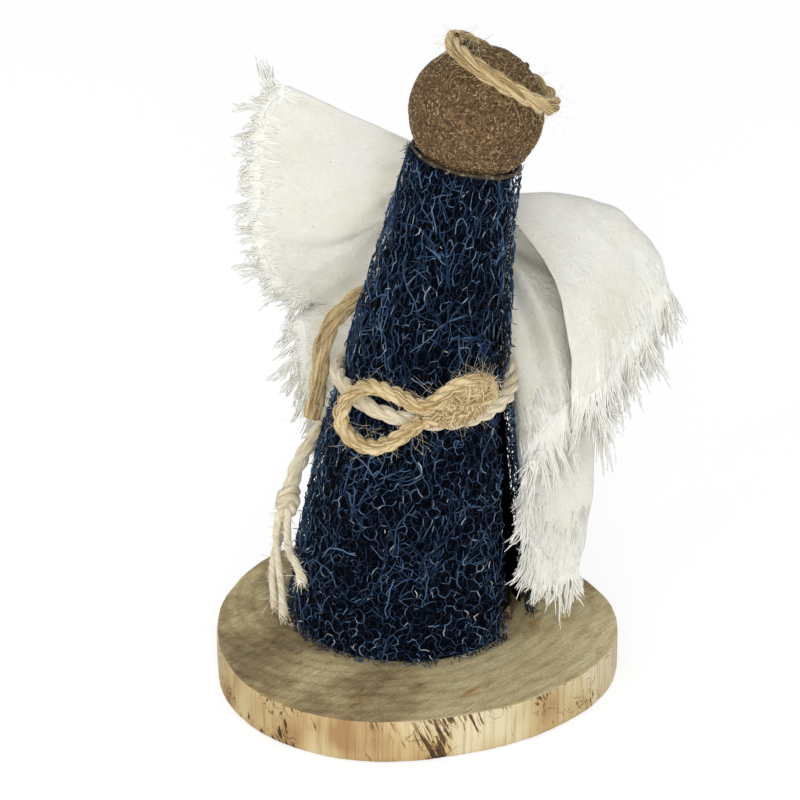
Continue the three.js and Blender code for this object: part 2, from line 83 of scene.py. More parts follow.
for lamp_name, lamp_place, lamp_size, lamp_watts in LAMPS:
    lamp = bpy.data.objects.new(lamp_name, bpy.data.lights.new(lamp_name, "AREA"))
    lamp.data.size = lamp_size
    lamp.data.energy = lamp_watts
    lamp.location = lamp_place
    lamp.rotation_euler = (Vector(lamp_place) - AIM).to_track_quat("Z", "Y").to_euler()
    scene.collection.objects.link(lamp)


def plain_shader(tree, kind, colour, strength=None):
    made = tree.nodes.new(kind)
    made.inputs["Color"].default_value = (*colour, 1)
    if strength is not None:
        made.inputs["Strength"].default_value = strength
    return made


def split_rays(tree, rays, others_see, rays_see, output):
    """Gives the rays that are named one shader, and all others another."""
    path = tree.nodes.new("ShaderNodeLightPath")
    chosen = path.outputs[rays[0]]
    for ray in rays[1:]:
        either = tree.nodes.new("ShaderNodeMath")
        either.operation = "MAXIMUM"
        tree.links.new(chosen, either.inputs[0])
        tree.links.new(path.outputs[ray], either.inputs[1])
        chosen = either.outputs[0]
    choose = tree.nodes.new("ShaderNodeMixShader")
    tree.links.new(chosen, choose.inputs["Fac"])
    tree.links.new(others_see.outputs[0], choose.inputs[1])
    tree.links.new(rays_see.outputs[0], choose.inputs[2])
    tree.links.new(choose.outputs[0], tree.nodes.new(output).inputs["Surface"])


world = bpy.data.worlds.new("sweep")
scene.world = world
world.use_nodes = True
sky = world.node_tree
sky.nodes.clear()
ambient = plain_shader(sky, "ShaderNodeBackground", WHITE, AMBIENT_STRENGTH)
white_sweep = plain_shader(sky, "ShaderNodeBackground", WHITE, 1.0)
sky_rays = ("Is Camera Ray", "Is Glossy Ray", "Is Transmission Ray")
split_rays(sky, sky_rays, ambient, white_sweep, "ShaderNodeOutputWorld")

floor_form = bmesh.new()
bmesh.ops.create_grid(floor_form, x_segments=1, y_segments=1, size=FLOOR_HALF_WIDTH)
bmesh.ops.translate(floor_form, verts=floor_form.verts, vec=(0, 0, -FLOOR_DROP))
floor_mesh = bpy.data.meshes.new("floor")
floor_form.to_mesh(floor_mesh)
floor_form.free()
floor = bpy.data.objects.new("floor", floor_mesh)
scene.collection.objects.link(floor)
paper = bpy.data.materials.new("white_paper")
paper.use_nodes = True
sheet = paper.node_tree
sheet.nodes.clear()
matt = plain_shader(sheet, "ShaderNodeBsdfDiffuse", PAPER_COLOUR)
glow = plain_shader(sheet, "ShaderNodeEmission", WHITE, PAPER_GLOW)
bright = sheet.nodes.new("ShaderNodeAddShader")
sheet.links.new(matt.outputs[0], bright.inputs[0])
sheet.links.new(glow.outputs[0], bright.inputs[1])
dull = plain_shader(sheet, "ShaderNodeBsdfDiffuse", PAPER_BOUNCE)
split_rays(sheet, ("Is Camera Ray", "Is Glossy Ray"), dull, bright, "ShaderNodeOutputMaterial")
floor_mesh.materials.append(paper)

# Wood base: a slice sawn across a branch, about 130 mm wide, dried and left unvarnished.
# Its faces keep the saw's fine lines, and its side is the bare sapwood under the bark.
MM = 0.001
BASE_RADIUS = 64.9
BASE_SHIFT = np.array((-0.9, -0.5))
BASE_CORNER = 2.3
BASE_CORNER_TURN = math.radians(-3)
BASE_SEGMENTS = 220
BASE_LEVELS = [
    (0.25, 0.45), (0.8, 0.06), (2.4, 0.0), (4.4, 0.0), (6.4, 0.0), (8.4, 0.0), (10.4, 0.0),
    (12.2, 0.0), (13.4, 0.02), (14.0, 0.1), (14.32, 0.28), (14.46, 0.6),
]
BASE_RINGS = [2.0, 4.5, 9.0, 16.0, 24.0, 33.0, 42.0, 51.0, 58.0]
BASE_TOP = 14.5
BASE_FIRST_RING = (0.02, 0.95)
SAWN_FACE_SLOPE = 0.6


def place_piece(name, mesh, finish, body=None, replaces=()):
    """Puts a finished mesh in the scene with its finish, on its body."""
    mesh.materials.clear()
    mesh.materials.append(finish.material)
    piece = bpy.data.objects.new(name, mesh)
    scene.collection.objects.link(piece)
    if body:
        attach(piece, body)
    if replaces:
        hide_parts(*replaces)
    return piece


class Finish:
    """A material's node tree, with short calls for the nodes that the finishes share."""

    def __init__(self, name, roughness, specular=0.3):
        self.material = bpy.data.materials.new(name)
        self.material.use_nodes = True
        self.tree = self.material.node_tree
        self.shader = self.tree.nodes["Principled BSDF"]
        self.shader.inputs["Roughness"].default_value = roughness
        self.shader.inputs["Specular IOR Level"].default_value = specular

    def node(self, kind, **settings):
        made = self.tree.nodes.new(kind)
        for key, value in settings.items():
            setattr(made, key, value)
        return made

    def link(self, source, target):
        self.tree.links.new(source, target)

    def place(self):
        return self.node("ShaderNodeTexCoord").outputs["Object"]

    def stretched(self, scale, turn=(0, 0, 0), source=None):
        mapping = self.node("ShaderNodeMapping")
        mapping.inputs["Scale"].default_value = scale
        mapping.inputs["Rotation"].default_value = turn
        self.link(source or self.place(), mapping.inputs["Vector"])
        return mapping.outputs["Vector"]

    def grain(self, scale, detail=3.0, rough=0.6, source=None):
        cloud = self.node("ShaderNodeTexNoise")
        cloud.inputs["Scale"].default_value = scale
        cloud.inputs["Detail"].default_value = detail
        cloud.inputs["Roughness"].default_value = rough
        self.link(source or self.place(), cloud.inputs["Vector"])
        return cloud.outputs["Fac"]

    def tone(self):
        return self.node("ShaderNodeAttribute", attribute_name="tone").outputs["Fac"]

    def math(self, operation, first, second):
        step = self.node("ShaderNodeMath", operation=operation)
        for socket, value in zip(step.inputs, (first, second)):
            if isinstance(value, (int, float)):
                socket.default_value = value
            else:
                self.link(value, socket)
        return step.outputs[0]

    def ramp(self, source, stops):
        made = self.node("ShaderNodeValToRGB")
        band = made.color_ramp
        while len(band.elements) < len(stops):
            band.elements.new(0.5)
        for element, (spot, colour) in zip(band.elements, stops):
            element.position = spot
            element.color = (*colour, 1)
        self.link(source, made.inputs["Fac"])
        return made.outputs["Color"]

    def tinted(self, share, first, second):
        """The first colour, multiplied by a share of the second."""
        made = self.node("ShaderNodeMix", data_type="RGBA", blend_type="MULTIPLY")
        made.inputs[0].default_value = share
        self.link(first, made.inputs[6])
        self.link(second, made.inputs[7])
        return made.outputs[2]

    def colour(self, source):
        self.link(source, self.shader.inputs["Base Color"])

    def bump(self, height, strength, distance):
        made = self.node("ShaderNodeBump")
        made.inputs["Strength"].default_value = strength
        made.inputs["Distance"].default_value = distance
        self.link(height, made.inputs["Height"])
        self.link(made.outputs["Normal"], self.shader.inputs["Normal"])

    def glow_through(self, weight, reach):
        self.shader.inputs["Subsurface Weight"].default_value = weight
        self.shader.inputs["Subsurface Radius"].default_value = reach
        self.shader.inputs["Subsurface Scale"].default_value = 1.0

    def fuzz(self, weight, tint):
        self.shader.inputs["Sheen Weight"].default_value = weight
        self.shader.inputs["Sheen Roughness"].default_value = 0.5
        self.shader.inputs["Sheen Tint"].default_value = (*tint, 1)


def finished_mesh(name, form):
    """Ends a bmesh: faces outward and smooth, as a new mesh."""
    bmesh.ops.recalc_face_normals(form, faces=form.faces)
    mesh = bpy.data.meshes.new(name)
    form.to_mesh(mesh)
    form.free()
    mesh.shade_smooth()
    return mesh


def base_reach(turn, height, inset):
    """The slice's outline, with the hollows and fine ribs that the bark left on it."""
    spot = Vector((math.cos(turn), math.sin(turn), height * 0.012))
    swell = 0.5 * noise.noise(spot * 2.3) + 0.22 * noise.noise(spot * 9.0)
    ribs = 0.16 * noise.noise(Vector((spot.x * 34, spot.y * 34, height * 0.09)))
    return BASE_RADIUS + BASE_CORNER * math.cos(3 * (turn - BASE_CORNER_TURN)) + swell + ribs - inset


def place_ring(ring, height, inset):
    for vert in ring:
        turn = math.atan2(vert.co.y / MM - BASE_SHIFT[1], vert.co.x / MM - BASE_SHIFT[0])
        reach = base_reach(turn, height, inset)
        lift = 0.05 * noise.noise(Vector((reach * math.cos(turn), reach * math.sin(turn), height)) * 0.3)
        spot = BASE_SHIFT + reach * np.array((math.cos(turn), math.sin(turn)))
        vert.co = Vector((*spot, height + lift)) * MM


def grow_rings(form, ring_edges, levels):
    """Extrudes a ring of edges through levels of height and inset, and closes the last one."""
    for height, inset in levels:
        grown = bmesh.ops.extrude_edge_only(form, edges=ring_edges)["geom"]
        ring_edges = [part for part in grown if isinstance(part, bmesh.types.BMEdge)]
        place_ring([part for part in grown if isinstance(part, bmesh.types.BMVert)], height, inset)
    bmesh.ops.holes_fill(form, edges=ring_edges, sides=BASE_SEGMENTS)


base_form = bmesh.new()
bmesh.ops.create_circle(base_form, segments=BASE_SEGMENTS, radius=1.0)
first_ring = list(base_form.edges)
place_ring(base_form.verts, *BASE_FIRST_RING)
grow_rings(base_form, first_ring, [(0.0, inset) for inset in BASE_RINGS])
grow_rings(base_form, first_ring, BASE_LEVELS + [(BASE_TOP, inset) for inset in BASE_RINGS])
base_mesh = finished_mesh("wood_slice", base_form)

sawn = Finish("sawn_face", 0.82, 0.25)
pith = sawn.node("ShaderNodeMapping")
pith.inputs["Location"].default_value = (0.012, -0.016, 0)
sawn.link(sawn.place(), pith.inputs["Vector"])
rings = sawn.node("ShaderNodeTexWave", wave_type="RINGS", rings_direction="Z")
rings.inputs["Scale"].default_value = 62
rings.inputs["Distortion"].default_value = 5.0
rings.inputs["Detail"].default_value = 4
rings.inputs["Detail Scale"].default_value = 0.8
sawn.link(pith.outputs["Vector"], rings.inputs["Vector"])
along_saw = sawn.stretched((1, 1, 1), (0, 0, math.radians(-48)))
blade = sawn.grain(1, 4, 0.7, sawn.stretched((120, 1500, 120), source=along_saw))
stain = sawn.grain(24, 5, 0.66)
sawn_tint = sawn.ramp(stain, [
    (0.34, (0.20, 0.155, 0.085)), (0.44, (0.38, 0.30, 0.165)), (0.53, (0.58, 0.49, 0.28)),
    (0.66, (0.70, 0.62, 0.39)),
])
smudge_field = sawn.grain(1, 2, 0.5, sawn.stretched((70, 190, 70), source=along_saw))
smudges = sawn.ramp(smudge_field, [
    (0.61, (1, 1, 1)), (0.70, (0.80, 0.62, 0.46)), (0.80, (0.58, 0.37, 0.22)),
])
sawn_tint = sawn.tinted(0.9, sawn_tint, smudges)
ring_tint = sawn.ramp(rings.outputs["Fac"], [(0.0, (0.72, 0.66, 0.58)), (0.6, (1, 1, 1))])
sawn_tint = sawn.tinted(0.5, sawn_tint, ring_tint)
blade_tint = sawn.ramp(blade, [(0.30, (0.68, 0.65, 0.61)), (0.70, (1.16, 1.16, 1.14))])
sawn_tint = sawn.tinted(0.9, sawn_tint, blade_tint)
speck = sawn.ramp(sawn.grain(1100, 4, 0.75), [(0.32, (0.66, 0.63, 0.59)), (0.68, (1.2, 1.2, 1.17))])
sawn.colour(sawn.tinted(0.85, sawn_tint, speck))
sawn.bump(sawn.math("ADD", blade, sawn.math("MULTIPLY", sawn.grain(1200, 2), 0.6)), 0.35, 0.0003)

sapwood = Finish("sapwood_side", 0.72, 0.3)
streaks = sapwood.grain(1, 4, 0.7, sapwood.stretched((800, 800, 30)))
patches = sapwood.grain(40, 2, 0.45, sapwood.stretched((1, 1, 0.7)))
side_tint = sapwood.ramp(patches, [
    (0.35, (0.38, 0.225, 0.095)), (0.44, (0.54, 0.395, 0.19)), (0.52, (0.62, 0.50, 0.27)),
    (0.61, (0.71, 0.62, 0.41)),
])
streak_tint = sapwood.ramp(streaks, [(0.36, (0.66, 0.56, 0.45)), (0.52, (1, 1, 1))])
side_tint = sapwood.tinted(0.7, side_tint, streak_tint)
slanted = sapwood.stretched((1, 1, 1), (0, 0.4, 0))
scar_lines = sapwood.grain(1, 3, 0.6, sapwood.stretched((900, 900, 75), source=slanted))
scar_spots = sapwood.grain(60, 1, 0.5)
scars = sapwood.math("MULTIPLY", sapwood.math("ADD", scar_lines, scar_spots), 0.5)
scar_tint = sapwood.ramp(scars, [
    (0.572, (1, 1, 1)), (0.602, (0.42, 0.27, 0.15)), (0.635, (0.06, 0.045, 0.03)),
])
side_tint = sapwood.tinted(0.95, side_tint, scar_tint)
level = sapwood.math("ABSOLUTE", sapwood.math("SUBTRACT", sapwood.grain(95, 3, 0.6), 0.5), 0.0)
off_spot = sapwood.math("MAXIMUM", sapwood.math("SUBTRACT", 0.53, sapwood.grain(34, 1, 0.5)), 0.0)
dark_lines = sapwood.ramp(sapwood.math("ADD", level, off_spot), [
    (0.003, (0.10, 0.08, 0.06)), (0.009, (1, 1, 1)),
])
sapwood.colour(sapwood.tinted(0.85, side_tint, dark_lines))
sapwood.bump(sapwood.math("ADD", streaks, sapwood.math("MULTIPLY", sapwood.grain(900, 3), 0.2)), 0.2, 0.0004)

place_piece("wood_slice", base_mesh, sawn, "figure", ["wood_base"])
base_mesh.materials.append(sapwood.material)
for polygon in base_mesh.polygons:
    polygon.material_index = 0 if abs(polygon.normal.z) > SAWN_FACE_SLOPE else 1

# Robe: one sheet of flattened loofah, dyed navy and rolled into a leaning cone with a free flap at the right.
# The sheet is a springy net of plant fibre: a coarse skin of veins over finer, deeper layers.
ROBE_FOOT_RADIUS = 39.3
ROBE_RIM_RADIUS = 18.0
ROBE_HEIGHT = 157.0
ROBE_WALL = 4.0
ROBE_LINE = np.array([(-2.0, 8.0, 14.8), (-0.5, 8.0, 93.3), (16.0, 8.0, 171.8)])
ROBE_CURVED_SHARE = 0.3
EDGE_FOOT_ANGLE, EDGE_RIM_ANGLE = -32.0, -25.0
FLAP_FOOT_ANGLE, FLAP_RIM_ANGLE = -372.0, -381.0
FLAP_FLARE = 3.0
FLAP_REACH = 0.12
FLAP_FLARE_TOP = 76.0
BELT_HEIGHT = 87.0
BELT_DROOP = 5.8
BELT_LOW_ANGLE = -86.0
BELT_DIP = 5.0
BELT_DIP_ANGLE = 162.0
BELT_DIP_SPREAD = 24.0
BELT_GROOVE = 1.5
BELT_PRESS = 2.2
BELT_PRESS_ANGLES = np.array((150.0, 8.0))
BELT_PRESS_SPREAD = 32.0
BELT_GROOVE_SPREAD = 4.5
SHEET_TURN = 340.0
VEIN_COUNT = 340
VEIN_STEP = 1.7
VEIN_RADIUS = 0.2
LOOSE_RADIUS = 0.14
LOOSE_ON_WALL, LOOSE_ON_RIM, LOOSE_TUFT, LOOSE_ON_FOOT = 1200, 420, 36, 420
TUFT_PLACE, TUFT_SPREAD = 0.575, 0.028
UNDYED_TONE = 1.15
CORE_DEPTH = 3.25
CORE_THICKNESS = 0.0006
# A net's name, cell width and height, depths in the wall, strand parts, bend, fibre radius and middle tone,
# set lower for the deeper nets as painted shade.
ROBE_NETS = [
    ("robe_outer_net", 2.9, 3.8, (0.0, 1.0), 2, 0.1, 0.19, 0.66),
    ("robe_fine_net", 2.4, 3.3, (0.6, 1.9), 2, 0.13, 0.14, 0.45),
    ("robe_deep_net", 2.6, 4.2, (1.6, 2.9), 2, 0.12, 0.18, 0.13),
]


def unit(vectors):
    return vectors / np.maximum(np.linalg.norm(vectors, axis=-1, keepdims=True), 1e-12)


def tube_mesh(name, strands, radius, sides, tones, tip=1.0, widths=None):
    """One mesh of round fibres along the strands, in millimetres, with a tone for each fibre."""
    curve = bpy.data.curves.new(name, "CURVE")
    curve.dimensions = "3D"
    curve.bevel_depth = radius * MM
    curve.bevel_resolution = sides
    for index, strand in enumerate(strands):
        spline = curve.splines.new("POLY")
        spline.points.add(len(strand) - 1)
        places = np.ones((len(strand), 4))
        places[:, :3] = np.asarray(strand) * MM
        spline.points.foreach_set("co", places.ravel())
        thick = np.full(len(strand), 1.0 if widths is None else widths[index])
        thick[-1] *= tip
        spline.points.foreach_set("radius", thick)
    holder = bpy.data.objects.new(name, curve)
    mesh = bpy.data.meshes.new_from_object(holder)
    bpy.data.objects.remove(holder)
    bpy.data.curves.remove(curve)
    ring = 4 + 2 * sides
    shade = np.repeat(tones, [ring * len(strand) for strand in strands])
    mesh.attributes.new("tone", "FLOAT", "POINT").data.foreach_set("value", shade)
    form = bmesh.new()
    form.from_mesh(mesh)
    bmesh.ops.holes_fill(form, edges=form.edges, sides=ring)
    form.to_mesh(mesh)
    form.free()
    mesh.shade_smooth()
    mesh.name = name
    return mesh


def place_strands(name, strands, radius, sides, tones, finish, slot, replaces=(), body="figure", **shape):
    """Makes round fibres into a piece and puts it in the scene."""
    mesh = tube_mesh(name, strands, radius, sides, tones, **shape)
    return place_piece(name, mesh, finish, body, replaces)


def shaped_grid(columns, rows, place):
    """A grid of points moved to place(across, up), whose shares run from 0 to 1."""
    form = bmesh.new()
    form.loops.layers.uv.new("UVMap")
    bmesh.ops.create_grid(form, x_segments=columns, y_segments=rows, size=0.5, calc_uvs=True)
    share = np.array([vert.co[:2] for vert in form.verts]) + 0.5
    for vert, spot in zip(form.verts, place(share[:, 0], share[:, 1])):
        vert.co = Vector(spot) * MM
    return form


def robe_radius(height):
    up = np.clip(height / ROBE_HEIGHT, 0, 1)
    curved = (1 + np.cos(math.pi * up)) / 2
    taper = (1 - up) * (1 - ROBE_CURVED_SHARE) + curved * ROBE_CURVED_SHARE
    return ROBE_RIM_RADIUS + (ROBE_FOOT_RADIUS - ROBE_RIM_RADIUS) * taper


def robe_point(angle, height, stand_off):
    """Points on or off the robe's outside, from degrees round its line and height above its foot."""
    angle, height, stand_off = np.broadcast_arrays(*map(np.asarray, (angle, height, stand_off)))
    up = (height / ROBE_HEIGHT)[..., None]
    foot, bend, rim = ROBE_LINE
    centre = (1 - up) ** 2 * foot + 2 * up * (1 - up) * bend + up**2 * rim
    ahead = (1 - up) * (bend - foot) + up * (rim - bend)
    lean = up[..., 0] * np.arctan2(ahead[..., 0], ahead[..., 2])
    reach = robe_radius(height) + stand_off
    right = reach * np.cos(np.radians(angle))
    back = reach * np.sin(np.radians(angle))
    return centre + np.stack([right * np.cos(lean), back, -right * np.sin(lean)], axis=-1)


def belt_height(angle):
    angle = np.asarray(angle)
    dip = BELT_DIP * np.exp(-(((angle % 360 - BELT_DIP_ANGLE) / BELT_DIP_SPREAD) ** 2))
    return BELT_HEIGHT - BELT_DROOP * np.cos(np.radians(angle - BELT_LOW_ANGLE)) - dip


def belt_press(angle):
    """How far the tight belt sinks into the robe, which is most at its two sides."""
    turns = (np.asarray(angle)[..., None] - BELT_PRESS_ANGLES + 180) % 360 - 180
    return (BELT_PRESS * np.exp(-((turns / BELT_PRESS_SPREAD) ** 2))).sum(axis=-1)


def robe_sheet(around, height, depth):
    """Points in the rolled sheet: its share round from the flap, its height, and its depth in the wall."""
    up = height / ROBE_HEIGHT
    flap = FLAP_FOOT_ANGLE + (FLAP_RIM_ANGLE - FLAP_FOOT_ANGLE) * up
    edge = EDGE_FOOT_ANGLE + (EDGE_RIM_ANGLE - EDGE_FOOT_ANGLE) * up
    angle = flap + (edge - flap) * around
    near = np.clip(around / FLAP_REACH, 0, 1)
    near = 1 - near * near * (3 - 2 * near)
    flare = FLAP_FLARE * near * np.clip(1 - height / FLAP_FLARE_TOP, 0, 1)
    from_belt = (height - belt_height(angle)) / BELT_GROOVE_SPREAD
    groove = (BELT_GROOVE + 0.6 * belt_press(angle)) * np.exp(-(from_belt**2))
    return robe_point(angle, height, flare - groove - depth)


def sheet_width(height):
    return 2 * math.pi * robe_radius(height) * SHEET_TURN / 360


def loofah_net(wide, tall, depths, segments, bow, draw):
    """Fibres along the cell walls of an irregular net over the sheet, each as a short bent strand."""
    seeds = []
    for row in np.arange(-1.5 * tall, ROBE_HEIGHT + 2 * tall, tall):
        count = max(8, round(float(sheet_width(max(row, 0))) / wide))
        share = (np.arange(-2, count + 3) + draw.uniform(-1.0, 1.0, count + 5)) / count
        height = row + draw.uniform(-1.0, 1.0, count + 5) * tall
        seeds.append(np.stack([share, height], axis=1))
    seeds = np.vstack(seeds)
    across = float(sheet_width(ROBE_HEIGHT * 0.45)) / wide
    flat = [Vector((share * across, height / tall)) for share, height in seeds]
    triangles = np.array(delaunay_2d_cdt(flat, [], [], 0, 1e-6)[2])
    nodes = seeds[triangles].mean(axis=1)
    deep = draw.uniform(*depths, len(nodes))
    sides = np.concatenate([triangles[:, corners] for corners in ([0, 1], [1, 2], [2, 0])])
    sides = np.sort(sides, axis=1)
    owner = np.tile(np.arange(len(triangles)), 3)
    order = np.lexsort((sides[:, 1], sides[:, 0]))
    sides, owner = sides[order], owner[order]
    shared = np.flatnonzero((sides[1:] == sides[:-1]).all(axis=1))
    starts, ends = owner[shared], owner[shared + 1]
    kept = (nodes[starts, 0] > 0) & (nodes[ends, 0] > 0) & (nodes[starts, 0] < 1) & (nodes[ends, 0] < 1)
    kept &= (nodes[starts, 1] > 0) & (nodes[starts, 1] < ROBE_HEIGHT) & (nodes[ends, 1] > -0.2 * tall)
    kept &= (nodes[ends, 1] < ROBE_HEIGHT + 0.5 * tall) & (draw.random(len(starts)) > 0.16)
    starts, ends = starts[kept], ends[kept]
    share = np.linspace(0, 1, segments + 1)
    belly = 4 * share * (1 - share)
    strands = []
    widths = []
    for start, end in zip(starts, ends):
        gap = nodes[end] - nodes[start]
        run = math.hypot(gap[0] * across * wide, gap[1])
        side = draw.normal(0, bow) * run
        around = nodes[start, 0] + gap[0] * share + belly * side * gap[1] / (run * across * wide + 1e-9)
        height = nodes[start, 1] + gap[1] * share - belly * side * gap[0] * across * wide / (run + 1e-9)
        depth = deep[start] + (deep[end] - deep[start]) * share + belly * draw.normal(0, 0.25)
        strands.append(robe_sheet(around, np.maximum(height, 0.15), depth))
        upright = abs(gap[1]) / (run + 1e-9)
        widths.append(draw.uniform(0.6, 1.05) + 0.4 * upright * draw.random() ** 2)
    return strands, widths


def loofah_veins(count, draw):
    """Long strands that wander up the sheet, with the shorter ones that fork off them."""
    strands, widths = [], []

    def wander(spot, heading, steps, width, depth):
        turns = heading + np.cumsum(draw.normal(0, 0.24, steps))
        height = spot[1] + np.concatenate([[0], np.cumsum(VEIN_STEP * np.cos(turns))])
        sideways = np.concatenate([[0], np.cumsum(VEIN_STEP * np.sin(turns))])
        around = spot[0] + sideways / sheet_width(np.clip(height, 0, ROBE_HEIGHT))
        inside = (around > 0.002) & (around < 0.998) & (height > 0.2) & (height < ROBE_HEIGHT + 0.5)
        last = len(inside) if inside.all() else int(np.argmin(inside))
        if last < 3:
            return None
        sway = 0.35 * np.sin(draw.uniform(0, 6.3) + draw.uniform(0.3, 0.8) * np.arange(last))
        strands.append(robe_sheet(around[:last], height[:last], depth + sway))
        widths.append(width)
        return around[:last], height[:last], turns

    for _ in range(count):
        spot = (draw.random(), draw.uniform(0.3, ROBE_HEIGHT - 3))
        width = draw.uniform(0.75, 1.35)
        depth = draw.uniform(0.05, 0.8)
        vein = wander(spot, draw.normal(0, 0.45), draw.integers(4, 13), width, depth)
        if vein is None:
            continue
        around, height, turns = vein
        for _ in range(draw.integers(1, 5)):
            fork = draw.integers(0, len(around) - 1)
            side = draw.choice([-1, 1]) * draw.uniform(0.5, 1.3)
            wander((around[fork], height[fork]), turns[fork] + side, draw.integers(2, 6), 0.72 * width, depth)
    return strands, widths


navy = Finish("navy_loofah_fibre", 0.5, 0.16)
navy_cloud = navy.math("MULTIPLY", navy.grain(160, 3), 0.3)
navy_shade = navy.math("ADD", navy.math("MULTIPLY", navy.tone(), 0.8), navy_cloud)
navy.colour(navy.ramp(navy_shade, [
    (0.12, (0.0006, 0.0012, 0.003)), (0.42, (0.002, 0.006, 0.017)), (0.68, (0.012, 0.036, 0.088)),
    (0.90, (0.105, 0.195, 0.315)), (0.97, (0.62, 0.60, 0.50)),
]))
navy.bump(navy.grain(2400, 2), 0.3, 0.0001)

# A near-black sheet inside the wall: painted shade, seen through the gaps of the net where the deep fibres
# lie in shadow.
core_dark = Finish("loofah_shadow", 0.95, 0.05)
core_dark.colour(core_dark.ramp(core_dark.grain(700, 3), [
    (0.35, (0.0005, 0.0009, 0.002)), (0.7, (0.002, 0.004, 0.010)),
]))

draw = np.random.default_rng(37)
vein_strands, vein_widths = loofah_veins(VEIN_COUNT, draw)
vein_tones = np.clip(draw.normal(0.63, 0.14, len(vein_strands)), 0, 0.92)
place_strands(
    "robe_veins", vein_strands, VEIN_RADIUS, 0, vein_tones, navy, "navy_loofah", widths=vein_widths,
)
for net_name, wide, tall, depths, segments, bow, thick, depth_shaded_tone in ROBE_NETS:
    strands, widths = loofah_net(wide, tall, depths, segments, bow, draw)
    # The deeper nets get darker tones: painted shade on the fibres that lie under the outer net.
    tones = np.clip(draw.normal(depth_shaded_tone, 0.2, len(strands)), 0, 0.95)
    if net_name == "robe_fine_net":
        tones[draw.random(len(strands)) < 0.004] = UNDYED_TONE
    place_strands(net_name, strands, thick, 0, tones, navy, "navy_loofah", widths=widths)


def robe_outward(around, height):
    return unit(robe_sheet(around, height, 0.0) - robe_sheet(around, height, 5.0))


def loose_fibre(around, height, depth, lean, long, draw):
    """A broken fibre end that leaves the net and curls."""
    start = robe_sheet(around, height, depth)
    share = np.linspace(0, 1, 5)[:, None]
    curl = draw.normal(0, 0.5, 3)
    return start + long * (np.asarray(lean) * share + curl * share**2)


loose = []
for _ in range(LOOSE_ON_WALL):
    around, height = draw.uniform(0.005, 0.995), draw.uniform(1, ROBE_HEIGHT)
    lean = unit(0.2 * robe_outward(around, height) + draw.normal(0, 0.6, 3))
    loose.append(loose_fibre(around, height, draw.uniform(0.2, 0.9), lean, draw.uniform(0.8, 2.0), draw))
for _ in range(LOOSE_ON_RIM):
    lean = np.array((0.1, 0, 0.4)) + draw.normal(0, 0.6, 3)
    height = ROBE_HEIGHT - draw.uniform(0.0, 1.2)
    around, depth = draw.random(), draw.uniform(0.1, 3.8)
    loose.append(loose_fibre(around, height, depth, lean, draw.uniform(0.7, 1.6), draw))
for _ in range(LOOSE_TUFT):
    lean = np.array((-0.15, 0, 0.8)) + draw.normal(0, 0.4, 3)
    around = draw.normal(TUFT_PLACE, TUFT_SPREAD)
    depth = draw.uniform(0, 2.4)
    loose.append(loose_fibre(around, ROBE_HEIGHT - 1.0, depth, lean, draw.uniform(1.2, 3.2), draw))
for _ in range(LOOSE_ON_FOOT):
    around = draw.random()
    lean = 0.5 * robe_outward(around, 2.0) + draw.normal(0, 0.5, 3)
    height, depth = draw.uniform(0.4, 5.0), draw.uniform(0, 1)
    hair = loose_fibre(around, height, depth, lean, draw.uniform(1.0, 2.6), draw)
    hair[:, 2] = np.maximum(hair[:, 2], BASE_TOP + 0.4)
    loose.append(hair)
loose_tones = np.clip(draw.beta(2, 2.4, len(loose)), 0, 0.93)
loose_tones[draw.random(len(loose)) < 0.025] = UNDYED_TONE
place_strands("robe_loose_fibres", loose, LOOSE_RADIUS, 0, loose_tones, navy, "navy_loofah", tip=0.5)


def core_spots(around, up):
    height = up * (ROBE_HEIGHT - 1.5) + 0.3
    return robe_sheet(0.055 + 0.94 * around, height, CORE_DEPTH)


# The painted-shade sheet, laid at the core depth across the whole rolled sheet.
core_form = shaped_grid(90, 24, core_spots)
bmesh.ops.recalc_face_normals(core_form, faces=core_form.faces)
bmesh.ops.solidify(core_form, geom=core_form.faces[:], thickness=CORE_THICKNESS)
core_mesh = finished_mesh("robe_shadow_core", core_form)
place_piece("robe_shadow_core", core_mesh, core_dark, "figure", ["robe_wrap"])

# Glue: hot-melt glue, squeezed on where the pieces meet, in CAD solids that only get a finish here.
# The bow's dab and the wing pad are cloudy. The foot bead and the halo's dabs have set clear over dark fibre.
glue = Finish("hot_glue", 0.35, 0.5)
glue.colour(glue.ramp(glue.grain(300, 3), [(0.3, (0.55, 0.50, 0.40)), (0.7, (0.80, 0.77, 0.69))]))
glue.bump(glue.grain(420, 2), 0.3, 0.0004)
clear_glue = Finish("clear_glue_on_brown", 0.45, 0.25)
clear_glue.colour(clear_glue.ramp(clear_glue.grain(420, 3), [
    (0.38, (0.02, 0.015, 0.01)), (0.56, (0.07, 0.045, 0.022)), (0.70, (0.34, 0.29, 0.20)),
]))
GLUED_NODES = [
    (glue, ("bow_glue_dab", "wing_glue_pad")),
    (clear_glue, ("foot_glue_bead", "halo_glue_dab_1", "halo_glue_dab_2", "halo_glue_dab_3")),
]
for glue_finish, node_names in GLUED_NODES:
    for node_name in node_names:
        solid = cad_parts[node_name]
        solid.data.materials.clear()
        solid.data.materials.append(glue_finish.material)

# Head: a blank ball of pressed brown plant fibre, about 42 mm across, seated in the robe's rim.
# The rough surface shows tan flakes of chopped fibre in a dark binder, and shallow dents.
HEAD_RADIUS = 20.9
GLUE_GAP = 0.3
FLAKE_COUNT = 4200
FLAKE_RADIUS = 0.085
COLLAR = ROBE_LINE[2]
collar_way = ROBE_LINE[2] - ROBE_LINE[1]
COLLAR_LEAN = math.atan2(collar_way[0], collar_way[2])
HEAD_HEIGHT = math.sqrt((HEAD_RADIUS + GLUE_GAP) ** 2 - (ROBE_RIM_RADIUS - ROBE_WALL) ** 2)
COLLAR_UP = np.array((math.sin(COLLAR_LEAN), 0, math.cos(COLLAR_LEAN)))
HEAD_CENTRE = COLLAR + HEAD_HEIGHT * COLLAR_UP


def head_dent(way):
    return 0.32 * noise.noise(way * 2.1) + 0.16 * noise.noise(way * 6.0)


